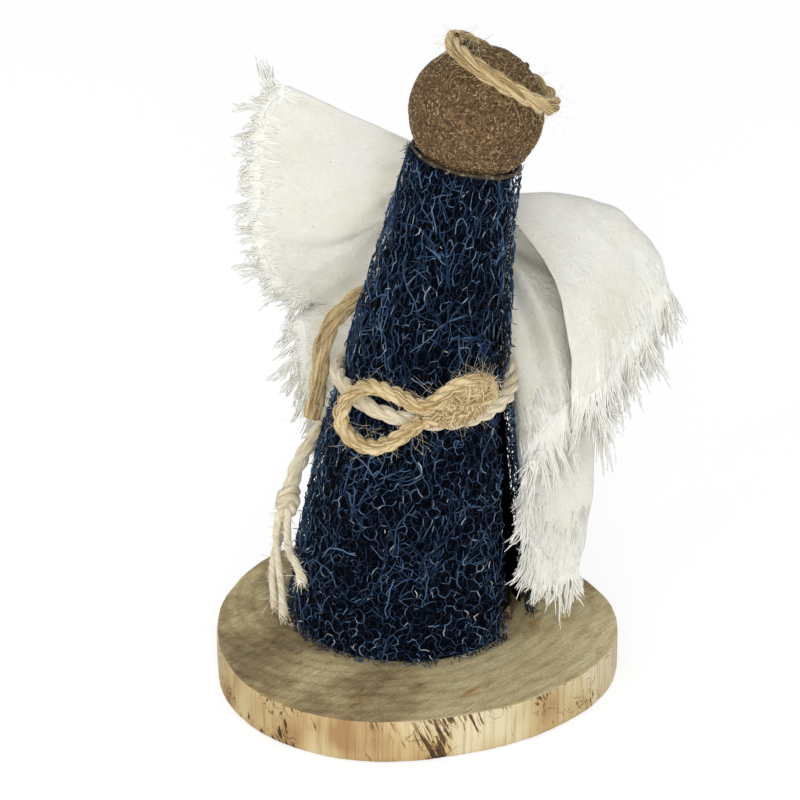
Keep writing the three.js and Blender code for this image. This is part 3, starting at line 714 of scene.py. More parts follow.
head_form = bmesh.new()
bmesh.ops.create_icosphere(head_form, subdivisions=7, radius=1.0)
for vert in head_form.verts:
    way = vert.co.normalized()
    rough = 0.10 * noise.noise(way * 26) + 0.10 * noise.noise(way * 60)
    vert.co = (Vector(HEAD_CENTRE) + way * (HEAD_RADIUS - 0.05 + head_dent(way) + rough)) * MM
head_mesh = finished_mesh("fibre_ball", head_form)

pulp = Finish("brown_fibre_pulp", 0.88, 0.25)
flake_field = pulp.grain(950, 3, 0.7)
crumb = pulp.node("ShaderNodeTexVoronoi")
crumb.inputs["Scale"].default_value = 1250
pulp.link(pulp.stretched((1, 1.4, 0.8), (0.4, 0.2, 0.3)), crumb.inputs["Vector"])
pulp_tint = pulp.ramp(flake_field, [
    (0.30, (0.030, 0.016, 0.007)), (0.46, (0.095, 0.055, 0.024)), (0.60, (0.18, 0.115, 0.053)),
    (0.74, (0.36, 0.26, 0.13)),
])
crumb_tint = pulp.ramp(crumb.outputs["Color"], [
    (0.2, (0.75, 0.72, 0.7)), (0.75, (1.05, 1.05, 1.05)), (0.92, (1.9, 1.8, 1.6)),
])
pulp_tint = pulp.tinted(0.85, pulp_tint, crumb_tint)
cloudy = pulp.ramp(pulp.grain(70, 3), [(0.35, (0.82, 0.8, 0.78)), (0.65, (1.12, 1.12, 1.1))])
pulp.colour(pulp.tinted(0.8, pulp_tint, cloudy))
pulp.bump(pulp.math("ADD", flake_field, crumb.outputs["Distance"]), 0.5, 0.0004)
place_piece("fibre_ball", head_mesh, pulp, "figure", ["head_ball"])

flake = Finish("tan_flake", 0.8, 0.3)
flake.colour(flake.ramp(flake.tone(), [
    (0.0, (0.20, 0.125, 0.055)), (0.55, (0.44, 0.32, 0.155)), (1.0, (0.78, 0.66, 0.40)),
]))
draw = np.random.default_rng(41)
flakes = []
for _ in range(FLAKE_COUNT):
    way = unit(draw.normal(0, 1, 3))
    side = unit(np.cross(way, draw.normal(0, 1, 3)))
    long = draw.uniform(0.25, 0.95)
    middle = HEAD_CENTRE + way * (HEAD_RADIUS + 0.02)
    middle = middle + way * (head_dent(Vector(way)) - 0.05)
    flakes.append(np.array([middle - side * long / 2, middle + way * 0.06, middle + side * long / 2]))
flake_tones = draw.random(len(flakes))
place_strands("fibre_ball_flakes", flakes, FLAKE_RADIUS, 0, flake_tones, flake, "brown_fibre", tip=0.5)

# Neck glue: a lumpy ring of hot-melt glue, squeezed out between the robe's rim and the head.
# It was run round the rim before the ball went on, and set clear over the brown fibre.
NECK_BEAD_RADIUS = 1.05
NECK_BEAD_HEIGHT = NECK_BEAD_RADIUS + GLUE_GAP
NECK_REACH = HEAD_RADIUS + GLUE_GAP + NECK_BEAD_RADIUS
NECK_RING = math.sqrt(NECK_REACH**2 - (HEAD_HEIGHT - NECK_BEAD_HEIGHT) ** 2)
neck_form = bmesh.new()
section = bmesh.ops.create_circle(neck_form, segments=12, radius=NECK_BEAD_RADIUS * MM)["verts"]
for vert in section:
    vert.co = Vector((NECK_RING * MM + vert.co.x, 0, NECK_BEAD_HEIGHT * MM + vert.co.y))
bmesh.ops.spin(
    neck_form, geom=neck_form.edges[:], cent=(0, 0, 0), axis=(0, 0, 1), angle=2 * math.pi, steps=120,
    use_merge=True,
)
bmesh.ops.recalc_face_normals(neck_form, faces=neck_form.faces)
for vert in neck_form.verts:
    lump = 0.5 * noise.noise(vert.co * 190) + 0.22 * noise.noise(vert.co * 640)
    centre = Vector((vert.co.x, vert.co.y, 0)).normalized() * NECK_RING * MM
    centre.z = NECK_BEAD_HEIGHT * MM
    vert.co = centre + (vert.co - centre) * (0.62 + lump)
lean_turn = Vector((0, 0, 1)).rotation_difference(Vector(COLLAR_UP)).to_matrix()
bmesh.ops.rotate(neck_form, verts=neck_form.verts, cent=(0, 0, 0), matrix=lean_turn)
bmesh.ops.translate(neck_form, verts=neck_form.verts, vec=Vector(COLLAR) * MM)
neck_mesh = finished_mesh("neck_glue", neck_form)
place_piece("neck_glue", neck_mesh, clear_glue, "figure", ["neck_glue_bead"])

# Halo: one turn of jute twine laid askew on the head, its ends lapped at the left.
# Three hairy plies of tan jute, twisted together, and held on the ball by three dabs of glue.
HALO_RADIUS = 18.0
HALO_LEAN = COLLAR_LEAN + math.radians(21)
HALO_TILT = math.radians(6)
HALO_LAY = 22.0
HALO_HAIRS = 460
JUTE_RADIUS = 2.4
HALO_HEIGHT = math.sqrt((HEAD_RADIUS + GLUE_GAP + JUTE_RADIUS) ** 2 - HALO_RADIUS**2)
JUTE_PLIES = 3
JUTE_PLY_RADIUS = 1.42
JUTE_PLY_OFFSET = 1.3
JUTE_YARNS = 18
JUTE_YARN_RADIUS = 0.27
JUTE_LAY = 13.5
HAIR_ROOT_RADIUS = 2.3
HAIR_RADIUS = 0.035


def across_line(line):
    """Two square axes across a line at each of its points, carried along it without a twist."""
    ahead = unit(np.gradient(line, axis=0))
    guess = np.array((0.0, 0.0, 1.0)) if abs(ahead[0, 2]) < 0.8 else np.array((1.0, 0.0, 0.0))
    first = []
    for direction in ahead:
        guess = guess - direction * (guess @ direction)
        guess = guess / np.linalg.norm(guess)
        first.append(guess)
    first = np.array(first)
    return first, np.cross(ahead, first)


def along_line(line):
    lengths = np.linalg.norm(np.diff(line, axis=0), axis=1)
    return np.concatenate([[0], np.cumsum(lengths)])


def laid_yarns(line, plies, offset, ply_radius, yarns, yarn_radius, lay, draw):
    """The yarns of a laid cord: plies turn about the line, and yarns turn the other way in each ply."""
    first, second = across_line(line)
    along = along_line(line)
    strands = []
    for ply in range(plies):
        turn = 2 * math.pi * (along / lay + ply / plies)
        middle = line + offset * (np.cos(turn)[:, None] * first + np.sin(turn)[:, None] * second)
        for yarn in range(yarns):
            slip = draw.normal(0, 0.1)
            spin = turn - 2 * math.pi * (1.6 * along / lay - (yarn + slip) / yarns)
            sway = np.sin(along * draw.uniform(0.5, 1.1) + draw.uniform(0, 6.3))
            reach = (ply_radius - yarn_radius) * (1 + 0.07 * sway + draw.normal(0, 0.04))
            place = np.cos(spin)[:, None] * first + np.sin(spin)[:, None] * second
            strands.append(middle + reach[:, None] * place)
    return strands


def loose_hairs(line, count, radius, lengths, draw, droop=0.25):
    """Stray fibres that stand out of a cord and curl back along it."""
    first, second = across_line(line)
    ahead = unit(np.gradient(line, axis=0))
    hairs = []
    for _ in range(count):
        spot = draw.integers(0, len(line))
        turn = draw.uniform(0, 2 * math.pi)
        out = math.cos(turn) * first[spot] + math.sin(turn) * second[spot]
        long = draw.uniform(*lengths)
        lead = ahead[spot] * draw.choice([-1, 1]) * draw.uniform(0.5, 1.3)
        lean = unit(out * draw.uniform(0.2, 0.8) + lead + draw.normal(0, 0.25, 3))
        curl = draw.normal(0, 0.8, 3) - np.array((0, 0, droop))
        share = np.linspace(0, 1, 9)[:, None]
        wave = draw.normal(0, 0.22, 3) * np.sin(draw.uniform(3, 10) * share + draw.uniform(0, 6))
        start = line[spot] + out * radius * 0.8
        hairs.append(start + long * (lean * share + curl * share**2 + wave * share))
    return hairs


jute = Finish("jute_fibre", 0.8, 0.35)
jute_shade = jute.math("ADD", jute.tone(), jute.math("MULTIPLY", jute.grain(700, 4), 0.55))
jute.colour(jute.ramp(jute_shade, [
    (0.2, (0.17, 0.10, 0.04)), (0.5, (0.40, 0.285, 0.125)), (0.78, (0.57, 0.43, 0.215)),
    (1.0, (0.74, 0.61, 0.37)),
]))
jute.bump(jute.grain(3200, 2), 0.4, 0.00015)
jute.fuzz(0.15, (1.0, 0.9, 0.7))

hair_finish = Finish("jute_hair", 0.6, 0.3)
hair_finish.colour(hair_finish.ramp(hair_finish.tone(), [
    (0.0, (0.55, 0.42, 0.22)), (1.0, (0.86, 0.76, 0.54)),
]))


def place_twine(name, node, line, lay, tone_range, draw):
    """A piece of the three-ply jute twine along a line."""
    yarns = laid_yarns(
        line, JUTE_PLIES, JUTE_PLY_OFFSET, JUTE_PLY_RADIUS, JUTE_YARNS, JUTE_YARN_RADIUS, lay, draw
    )
    tones = draw.uniform(*tone_range, len(yarns))
    return place_strands(name, yarns, JUTE_YARN_RADIUS, 1, tones, jute, "jute_twine", [node])


def place_hairs(name, hairs, darkest, draw):
    """A piece of the stray hairs of a jute twine."""
    tones = draw.uniform(darkest, 1, len(hairs))
    return place_strands(name, hairs, HAIR_RADIUS, 0, tones, hair_finish, "jute_twine", tip=0.4)


halo_right = np.array((math.cos(HALO_LEAN), 0, -math.sin(HALO_LEAN)))
level_up = np.array((math.sin(HALO_LEAN), 0, math.cos(HALO_LEAN)))
level_back = np.array((0.0, 1.0, 0.0))
halo_up = math.cos(HALO_TILT) * level_up + math.sin(HALO_TILT) * level_back
halo_back = math.cos(HALO_TILT) * level_back - math.sin(HALO_TILT) * level_up
halo_turns = np.linspace(math.pi - 0.12, 3 * math.pi + 0.10, 130)
halo_lap = np.clip((halo_turns - 3 * math.pi + 0.25) / 0.3, 0, 1)
halo_lift = HALO_HEIGHT - 0.6 + 1.6 * halo_lap + 0.3 * np.sin(3 * halo_turns)
halo_reach = HALO_RADIUS + 0.25 * np.sin(2 * halo_turns + 1)
halo_line = HEAD_CENTRE + np.outer(halo_lift, halo_up)
halo_line = halo_line + np.outer(halo_reach * np.cos(halo_turns), halo_right)
halo_line = halo_line + np.outer(halo_reach * np.sin(halo_turns), halo_back)
draw = np.random.default_rng(53)
place_twine("halo_twine", "halo_ring", halo_line, HALO_LAY, (-0.05, 0.7), draw)
halo_hairs = loose_hairs(halo_line, HALO_HAIRS, HAIR_ROOT_RADIUS, (1.0, 4), draw)
place_hairs("halo_hairs", halo_hairs, 0.5, draw)

# Belt: one turn of off-white cotton cord round the waist, low at the front and tied at the left back.
# Three plies of soft yarn, twisted together. The belt is pulled tight, so it sinks into the robe's sides.
BELT_DIAMETER = 5.2
BELT_KNOT_ANGLE = 120.0
BELT_STAND_OFF = 1.2
BELT_PLY_RADIUS = 1.4
BELT_PLY_OFFSET = 1.24
BELT_YARNS = 13
BELT_YARN_RADIUS = 0.4
BELT_LAY = 19.0
CORD_STEP = 1.2


def even_steps(line, step):
    """The line again, with points about a step apart."""
    along = along_line(line)
    spots = np.linspace(0, along[-1], max(2, round(along[-1] / step) + 1))
    return np.stack([np.interp(spots, along, line[:, axis]) for axis in range(3)], axis=1)


cotton = Finish("cotton_yarn", 0.92, 0.2)
cotton_shade = cotton.math("ADD", cotton.tone(), cotton.math("MULTIPLY", cotton.grain(420, 3), 0.5))
cotton.colour(cotton.ramp(cotton_shade, [
    (0.15, (0.56, 0.46, 0.30)), (0.55, (0.76, 0.68, 0.49)), (1.1, (0.87, 0.81, 0.66)),
]))
cotton.bump(cotton.grain(2600, 2), 0.35, 0.0002)
cotton.fuzz(0.25, (1.0, 0.97, 0.9))


def place_cord(name, node, line, draw, scale=1.0):
    """A piece of the three-ply cotton cord along a line, at a share of its full thickness."""
    yarn_radius = scale * BELT_YARN_RADIUS
    yarns = laid_yarns(
        line, 3, scale * BELT_PLY_OFFSET, scale * BELT_PLY_RADIUS, BELT_YARNS, yarn_radius, BELT_LAY, draw
    )
    tones = draw.uniform(0, 0.6, len(yarns))
    return place_strands(name, yarns, yarn_radius, 1, tones, cotton, "cotton_cord", [node])


draw = np.random.default_rng(61)
belt_angles = np.linspace(BELT_KNOT_ANGLE + 4, BELT_KNOT_ANGLE + 356, 260)
belt_offs = BELT_STAND_OFF - belt_press(belt_angles)
belt_line = even_steps(robe_point(belt_angles, belt_height(belt_angles), belt_offs), CORD_STEP)
place_cord("belt_laid_cord", "belt_cord", belt_line, draw)

# Belt knot: the belt's two ends are tied at the left back, under the left wing.
# Two tight turns of the same cotton cord. The long end hangs from it as the tail.
BELT_KNOT_OFF = 4.8
BELT_KNOT_TURN_RADIUS = 2.1
BELT_KNOT_RISE = 3.2
BELT_KNOT_CORD = 0.88


def knot_line(centre, axis, turn_radius, rise):
    """Two crossing turns of cord about an axis."""
    side = unit(np.cross(axis, (0.3, 1.0, 0.2)))
    other = np.cross(axis, side)
    share = np.linspace(0, 1, 46)
    turn = 2 * math.pi * 2.15 * share
    wander = rise * (0.5 - share) + 0.9 * np.sin(2 * turn)
    reach = turn_radius * (0.55 + 0.45 * np.sin(math.pi * share) ** 0.5)
    line = centre + np.outer(reach * np.cos(turn), side) + np.outer(reach * np.sin(turn), other)
    return line - np.outer(wander, axis)


def beside_belt(angle):
    return robe_point(angle, belt_height(angle), BELT_KNOT_OFF)


belt_knot_way = unit(beside_belt(BELT_KNOT_ANGLE + 1) - beside_belt(BELT_KNOT_ANGLE - 1))
belt_knot_line = knot_line(
    beside_belt(BELT_KNOT_ANGLE), belt_knot_way, BELT_KNOT_TURN_RADIUS, BELT_KNOT_RISE
)
place_cord("belt_knot_cord", "belt_knot", belt_knot_line, draw, BELT_KNOT_CORD)

# Belt tail: the long end of the cotton belt cord, which hangs down the robe's left side to its knot.
# The same three-ply cord as the belt, free from the belt's knot on.
TAIL_ROUTE = [
    (-11.2, 35, 102.6), (-12.2, 34.9, 99.3), (-13.6, 34.9, 95.8), (-15.4, 34.6, 92.3),
    (-17.5, 34.1, 88.8), (-19.7, 33.3, 85.3), (-22.2, 32.1, 81.8), (-24.8, 30.5, 78.3),
    (-27.4, 28.5, 74.8), (-29.9, 26.1, 71.8), (-32.3, 23.4, 68.9), (-34.5, 20.5, 66.3),
    (-36.4, 17.6, 63.8), (-37.9, 14.7, 61.2), (-39.1, 11.7, 58.2),
]
KNOT_CENTRE = np.array((-40.2, 9.0, 53.9))


def spline_at(points, share):
    """Points on a smooth curve through the given ones, at shares of its spans."""
    points = np.asarray(points, float)
    knots = np.vstack([2 * points[0] - points[1], points, 2 * points[-1] - points[-2]])
    spot = np.clip(share, 0, 1) * (len(points) - 1)
    span = np.minimum(np.asarray(spot).astype(int), len(points) - 2)
    part = (spot - span)[..., None]
    a, b, c, d = (knots[span + step] for step in range(4))
    bend = (2 * a - 5 * b + 4 * c - d) * part**2 + (3 * b - a - 3 * c + d) * part**3
    return b + 0.5 * ((c - a) * part + bend)


def smooth_route(points, step):
    """A smooth line through the points, in even steps."""
    return even_steps(spline_at(points, np.linspace(0, 1, 12 * len(points))), step)


draw = np.random.default_rng(11)
tail_line = smooth_route(TAIL_ROUTE, CORD_STEP)
tail_end = tail_line[-1] + 0.6 * (KNOT_CENTRE - tail_line[-1])
tail_cord_line = even_steps(np.vstack([tail_line, tail_end]), CORD_STEP)
belt_tail = place_cord("belt_tail_cord", "belt_tail", tail_cord_line, draw)

# Tail knot: an overhand knot tied in the belt's tail, about twice the cord's width.
# Two turns of the same cotton cord, drawn tight, with the plies still showing.
KNOT_AXIS = unit(np.array((-0.2, -0.5, -0.85)))
KNOT_TURN_RADIUS = 2.2
KNOT_TURN_RISE = 5.2
KNOT_CORD = 0.86

tail_knot_line = knot_line(KNOT_CENTRE, KNOT_AXIS, KNOT_TURN_RADIUS, KNOT_TURN_RISE)
tail_knot = place_cord("tail_knot_cord", "tail_knot", tail_knot_line, draw, KNOT_CORD)

# Tail strands: below the knot the cord is unlaid into its three plies.
# Each ply hangs by itself and ends in a soft brush of teased-out cotton.
STRAND_RADIUS = 1.3
STRAND_YARNS = 9
STRAND_YARN_RADIUS = 0.4
STRAND_LAY = 5.5
STRAND_HAIRS = 110
BRUSH_LENGTH = 5.5
BRUSH_HAIRS = 90
BRUSH_HAIR_SHARE = 0.2
STRAND_ROUTES = {
    "tail_strand_front": [
        (-40.3, 5, 49.8), (-40.4, 4.4, 48.3), (-40.4, 3.6, 46.6), (-40.4, 2.6, 44.8), (-40.3, 1.4, 43.2),
        (-40.1, 0, 41.9), (-39.8, -1.6, 41.1), (-39.4, -3.3, 40.7), (-38.9, -5, 40.6),
        (-38.3, -6.7, 40.5), (-37.6, -8.4, 40.1), (-36.9, -9.9, 39.3), (-36.3, -11.2, 38.2),
        (-35.7, -12.3, 36.8), (-35.2, -13.1, 35.2),
    ],
    "tail_strand_left": [
        (-43, 6.3, 49.7), (-43.4, 6, 47.8), (-43.8, 5.8, 45.5), (-44, 5.8, 43), (-44, 5.8, 40.5),
        (-43.9, 5.5, 38), (-43.7, 5.1, 35.5), (-43.4, 4.5, 33), (-43.1, 3.8, 30.5), (-42.8, 3, 28),
        (-42.5, 2.1, 25.5), (-42.3, 1.1, 23), (-42.1, 0, 20.7), (-41.9, -1.1, 18.7), (-41.7, -2, 17),
    ],
    "tail_strand_back": [
        (-40.7, 7.4, 48), (-41.1, 7.6, 46.2), (-41.8, 8.3, 44), (-42.6, 8.8, 41.5), (-43.5, 8.9, 39),
        (-44.3, 8.7, 36.5), (-44.9, 8.3, 34), (-45.3, 7.8, 31.5), (-45.5, 7.2, 29), (-45.5, 6.6, 26.5),
        (-45.4, 6, 24), (-45.2, 5.4, 22), (-45, 4.9, 20.3), (-44.7, 4.4, 18.8), (-44.4, 4, 17.4),
    ],
}


def brushed_ply(line, draw):
    """A single ply whose yarns spread apart over the last few millimetres."""
    yarns = laid_yarns(line, 1, 0, STRAND_RADIUS, STRAND_YARNS, STRAND_YARN_RADIUS, STRAND_LAY, draw)
    left = along_line(line)[-1] - along_line(line)
    spread = np.clip(1 - left / BRUSH_LENGTH, 0, 1) ** 1.5
    return [line + (yarn - line) * (1 + 0.8 * spread[:, None]) for yarn in yarns]


def brush_hairs(line, count, draw):
    """Fine cotton fibres that stand out of the brush at a ply's end."""
    ahead = unit(line[-1] - line[-4])
    step = np.linspace(0, 1, 6)[:, None]
    hairs = []
    for _ in range(count):
        start = line[-1] - ahead * draw.uniform(0, BRUSH_LENGTH) + draw.normal(0, 0.6, 3)
        lean = ahead + draw.normal(0, 0.2, 3)
        curl = draw.normal(0, 0.35, 3)
        hair = start + draw.uniform(1.0, 3.0) * (lean * step + curl * step**2)
        hair[:, 2] = np.maximum(hair[:, 2], BASE_TOP + 0.2)
        hairs.append(hair)
    return hairs


for strand_name, strand_route in STRAND_ROUTES.items():
    inside_knot = KNOT_CENTRE + 0.3 * (np.array(strand_route[0]) - KNOT_CENTRE)
    ply_line = smooth_route([inside_knot, *strand_route], 1.0)
    ply_fuzz = loose_hairs(ply_line, STRAND_HAIRS, STRAND_RADIUS, (0.8, 2.2), draw)
    ply_fuzz += brush_hairs(ply_line, BRUSH_HAIRS, draw)
    ply_yarns = brushed_ply(ply_line, draw) + ply_fuzz
    ply_widths = [1.0] * STRAND_YARNS + [BRUSH_HAIR_SHARE] * len(ply_fuzz)
    ply_tones = draw.uniform(0.15, 0.75, len(ply_yarns))
    place_strands(
        f"{strand_name}_ply", ply_yarns, STRAND_YARN_RADIUS, 1, ply_tones, cotton, "cotton_cord",
        [strand_name], tip=0.6, widths=ply_widths,
    )

# Bow: one length of jute twine in a flat figure eight over the belt's front, glued behind its crossing.
# Its left loop is open, and its right loop is pressed shut and well frayed.
BOW_ANGLE = -92.0
BOW_DAB_HEIGHT = 4.4
OVER_BELT = BELT_DIAMETER + 2 * GLUE_GAP + JUTE_RADIUS
OVER_CROSSING = OVER_BELT + 2 * JUTE_RADIUS + GLUE_GAP
FRAY_TURN, FRAY_HALF_TURN = 19.0, 15.5
FRAY_RISE, FRAY_HALF_RISE = 4.6, 4.6
FRAY_SLOPE = 0.2
FRAY_COUNT = 640
FRAY_RADIUS = 0.19
BOW_HAIRS, FRAYED_HAIRS = 380, 340
FRAYED_HAIR_ROOT = 2.6
BOW_TONES = (0.1, 0.85)
MM_PER_TURN_DEGREE = 0.7
bow_height = float(belt_height(BOW_ANGLE)) + BELT_DIAMETER / 2 + GLUE_GAP + BOW_DAB_HEIGHT / 2
BOW_ROUTE = [
    (0, -1.6, OVER_BELT), (13, -0.6, OVER_BELT), (26, 2.0, OVER_BELT), (35.5, 6.4, OVER_BELT),
    (28, 10.6, OVER_BELT), (14, 9.8, OVER_BELT + 1.4), (0, 4.8, OVER_CROSSING), (-14, 6.2, OVER_BELT + 2.4),
    (-30, 5.6, OVER_BELT), (-41, 0.4, OVER_BELT), (-43.5, -6.5, OVER_BELT), (-37, -11.6, OVER_BELT - 1),
    (-25, -13, OVER_BELT - 1.5), (-13, -9.2, OVER_BELT),
]
bow_spots = [robe_point(BOW_ANGLE + turn, bow_height + rise, off) for turn, rise, off in BOW_ROUTE]
bow_line = smooth_route([*bow_spots, bow_spots[0]], CORD_STEP)
draw = np.random.default_rng(71)
place_twine("bow_twine", "jute_bow", bow_line, JUTE_LAY, BOW_TONES, draw)
fray = []
for _ in range(FRAY_COUNT):
    spin, reach = draw.uniform(0, 2 * math.pi), math.sqrt(draw.random())
    turn = FRAY_TURN + FRAY_HALF_TURN * reach * math.cos(spin)
    rise = FRAY_RISE + FRAY_SLOPE * (turn - FRAY_TURN) + FRAY_HALF_RISE * reach * math.sin(spin)
    share = np.linspace(-0.5, 0.5, 8)
    heading = draw.normal(0.45, 0.8) + draw.normal(0, 1.6) * share
    run = draw.uniform(4, 10) * share
    turns = turn + run * np.cos(heading) / MM_PER_TURN_DEGREE
    rises = rise + run * np.sin(heading)
    offs = OVER_BELT + 2.6 * (1 - reach**2) + draw.uniform(0.2, 1.6) + 0.5 * np.cos(2 * math.pi * share)
    fray.append(robe_point(BOW_ANGLE + turns, bow_height + rises, offs))
fray_tones = draw.uniform(0.0, 0.95, len(fray))
place_strands("bow_frayed_yarn", fray, FRAY_RADIUS, 1, fray_tones, jute, "jute_twine", tip=0.5)
bow_hairs = loose_hairs(bow_line, BOW_HAIRS, HAIR_ROOT_RADIUS, (1.2, 4.2), draw, droop=0.1)
frayed_line = smooth_route(bow_spots[1:6], CORD_STEP)
bow_hairs += loose_hairs(frayed_line, FRAYED_HAIRS, FRAYED_HAIR_ROOT, (1.2, 4.0), draw, droop=0.1)
place_hairs("bow_hairs", bow_hairs, 0.4, draw)

# Wing gather: the middle of the wing cloth, drawn together into a bundle of pleats at the robe's back.
# The same unbleached muslin as the wings, pinched to a waist where the twine binds it.
GATHER_CENTRE = np.array((11.85, 40.22, 150.8))
GATHER_WIDTH = 20.8
GATHER_DEPTH = 8.0
GATHER_PINCH_HEIGHT = 14.0
GATHER_WAIST = 7.0
GATHER_PLEATS = 11
GATHER_COLUMNS, GATHER_ROWS = 110, 24
WING_ROOT_HEIGHT = 24.0
LEFT_ROOT_RISE = 2.0
RIGHT_ROOT_RISE = -9.0

muslin = Finish("muslin_weave", 0.95, 0.12)
weave_place = muslin.node("ShaderNodeUVMap", uv_map="UVMap").outputs["UV"]
warp = muslin.grain(1, 3, 0.6, muslin.stretched((420, 26, 1), source=weave_place))
weft = muslin.grain(1, 3, 0.6, muslin.stretched((40, 190, 1), source=weave_place))
threads_height = muslin.math("MULTIPLY", muslin.math("ADD", warp, weft), 0.5)
muslin_tint = muslin.ramp(muslin.grain(42, 4, 0.6), [
    (0.32, (0.88, 0.855, 0.73)), (0.50, (0.92, 0.91, 0.825)), (0.66, (0.94, 0.94, 0.88)),
])
seed_flecks = muslin.ramp(muslin.grain(900, 1, 0.4), [(0.74, (1, 1, 1)), (0.80, (0.62, 0.48, 0.3))])
muslin_tint = muslin.tinted(0.5, muslin_tint, seed_flecks)
weave_tint = muslin.ramp(threads_height, [(0.36, (0.90, 0.89, 0.85)), (0.62, (1, 1, 1))])
muslin.colour(muslin.tinted(0.7, muslin_tint, weave_tint))
nap = muslin.math("MULTIPLY", muslin.grain(520, 4, 0.65), 1.6)
muslin.bump(muslin.math("ADD", threads_height, nap), 0.7, 0.0009)
muslin.fuzz(0.2, (1, 0.99, 0.96))
muslin.glow_through(0.35, (0.0008, 0.0008, 0.0008))


def gather_spots(around, along):
    """The bundle's skin: deep pleats where it is pinched, and a taller end towards each wing."""
    turn = 2 * math.pi * around
    across = GATHER_WIDTH * (along - 0.5)
    swell = np.clip((np.abs(across) - GATHER_WAIST) / (GATHER_WIDTH / 2 - GATHER_WAIST), 0, 1)
    swell = swell * swell * (3 - 2 * swell)
    rise = swell * np.where(across < 0, LEFT_ROOT_RISE, RIGHT_ROOT_RISE)
    half = (GATHER_PINCH_HEIGHT + (WING_ROOT_HEIGHT - GATHER_PINCH_HEIGHT) * swell) / 2
    fold = 0.88 + 0.12 * np.sin(GATHER_PLEATS * turn + 2.0 * np.sin(turn) + 0.08 * across)
    back = GATHER_DEPTH / 2 * np.cos(turn) * fold
    return GATHER_CENTRE + np.stack([across, back, half * np.sin(turn) * (0.9 + 0.1 * fold) + rise], axis=-1)


gather_form = shaped_grid(GATHER_COLUMNS, GATHER_ROWS, gather_spots)
bmesh.ops.remove_doubles(gather_form, verts=gather_form.verts, dist=0.00001)
bmesh.ops.holes_fill(gather_form, edges=gather_form.edges, sides=GATHER_COLUMNS)
gather_mesh = finished_mesh("gathered_cloth", gather_form)
place_piece("gathered_cloth", gather_mesh, muslin, "figure", ["wing_gather"])

# Wing binding: two turns of jute twine round the gather, drawn tight, with the last end running down.
# The same three-ply twine as the halo and the bow. Glue behind it holds the wings on the robe.
BINDING_HALF_DEPTH = 6.7
BINDING_HALF_HEIGHT = 9.7
BINDING_HALF_WIDTH = 5.8
BINDING_END_DROP = 11.0
BINDING_HAIRS = 160
binding_turns = np.linspace(0, 4 * math.pi, 120)
binding_line = GATHER_CENTRE + np.stack([
    np.linspace(BINDING_HALF_WIDTH, -BINDING_HALF_WIDTH, 120),
    -BINDING_HALF_DEPTH * np.cos(binding_turns),
    -BINDING_HALF_HEIGHT * np.sin(binding_turns),
], axis=1)
binding_end = binding_line[-1] - np.outer(np.linspace(0.1, 1, 8), (0, 0, BINDING_END_DROP))
binding_line = even_steps(np.vstack([binding_line, binding_end]), CORD_STEP)
draw = np.random.default_rng(83)
place_twine("binding_twine", "wing_binding", binding_line, JUTE_LAY, BOW_TONES, draw)
binding_hairs = loose_hairs(binding_line, BINDING_HAIRS, HAIR_ROOT_RADIUS, (2, 7), draw)
place_hairs("binding_hairs", binding_hairs, 0.4, draw)

# Binding tail: the doubled end of the jute twine that binds the wings, out under the left wing.
# Hairy plies of tan jute, loosely twisted round each other, and cut off short below the belt.
STUB_PLY_OFFSET = 1.4
STUB_PLY_RADIUS = 1.65
STUB_YARNS = 20
STUB_YARN_RADIUS = 0.3
STUB_LAY = 30.0
STUB_HAIRS = 1100
STUB_HAIR_ROOT = 2.8
BINDING_TAIL_ROUTE = [
    (6.2, 34.2, 139.2), (5.8, 34.4, 136.4), (4.4, 34.7, 133.3), (1.6, 34.8, 130), (-1.9, 34.3, 126.9),
    (-5.8, 33.3, 123.9), (-9.8, 32, 120.9), (-14.3, 31, 117.9), (-18.8, 29.9, 114.9),
    (-23.1, 28.8, 111.3), (-26.3, 27.3, 107.3), (-28.4, 25.6, 102.9), (-29.5, 23.1, 98.1),
    (-30, 20.3, 93.1), (-30.6, 17.5, 88.5), (-31.5, 15.4, 84), (-32.4, 14.1, 80.4),
]

draw = np.random.default_rng(23)
stub_line = smooth_route(BINDING_TAIL_ROUTE, CORD_STEP)
stub_yarns = laid_yarns(
    stub_line, JUTE_PLIES, STUB_PLY_OFFSET, STUB_PLY_RADIUS, STUB_YARNS, STUB_YARN_RADIUS, STUB_LAY, draw
)
stub_hairs = loose_hairs(stub_line, STUB_HAIRS, STUB_HAIR_ROOT, (1.2, 4.5), draw)
stub_tones = draw.uniform(0.0, 0.65, len(stub_yarns))
binding_tail = place_strands(
    "binding_tail_twine", stub_yarns, STUB_YARN_RADIUS, 1, stub_tones, jute, "jute_twine", ["binding_tail"],
)
stub_fuzz = place_hairs("binding_tail_hairs", stub_hairs, 0.4, draw)

# Left wing: one end of the muslin strip, fanned out from the gather, its hem frayed into a soft fringe.
# It is held only at the gather.
CLOTH_THICKNESS = 0.5
THREAD_GAP = 0.3
THREAD_LIFT = 0.3
THREAD_RADIUS = 0.24
WING_ROOT_INSET = 2.5
WING_PLEATS = 6
WING_ROWS = 90
LEFT_COLUMNS = 170
LEFT_ROOT_DROP = 1.2
LEFT_SEED = 3.0
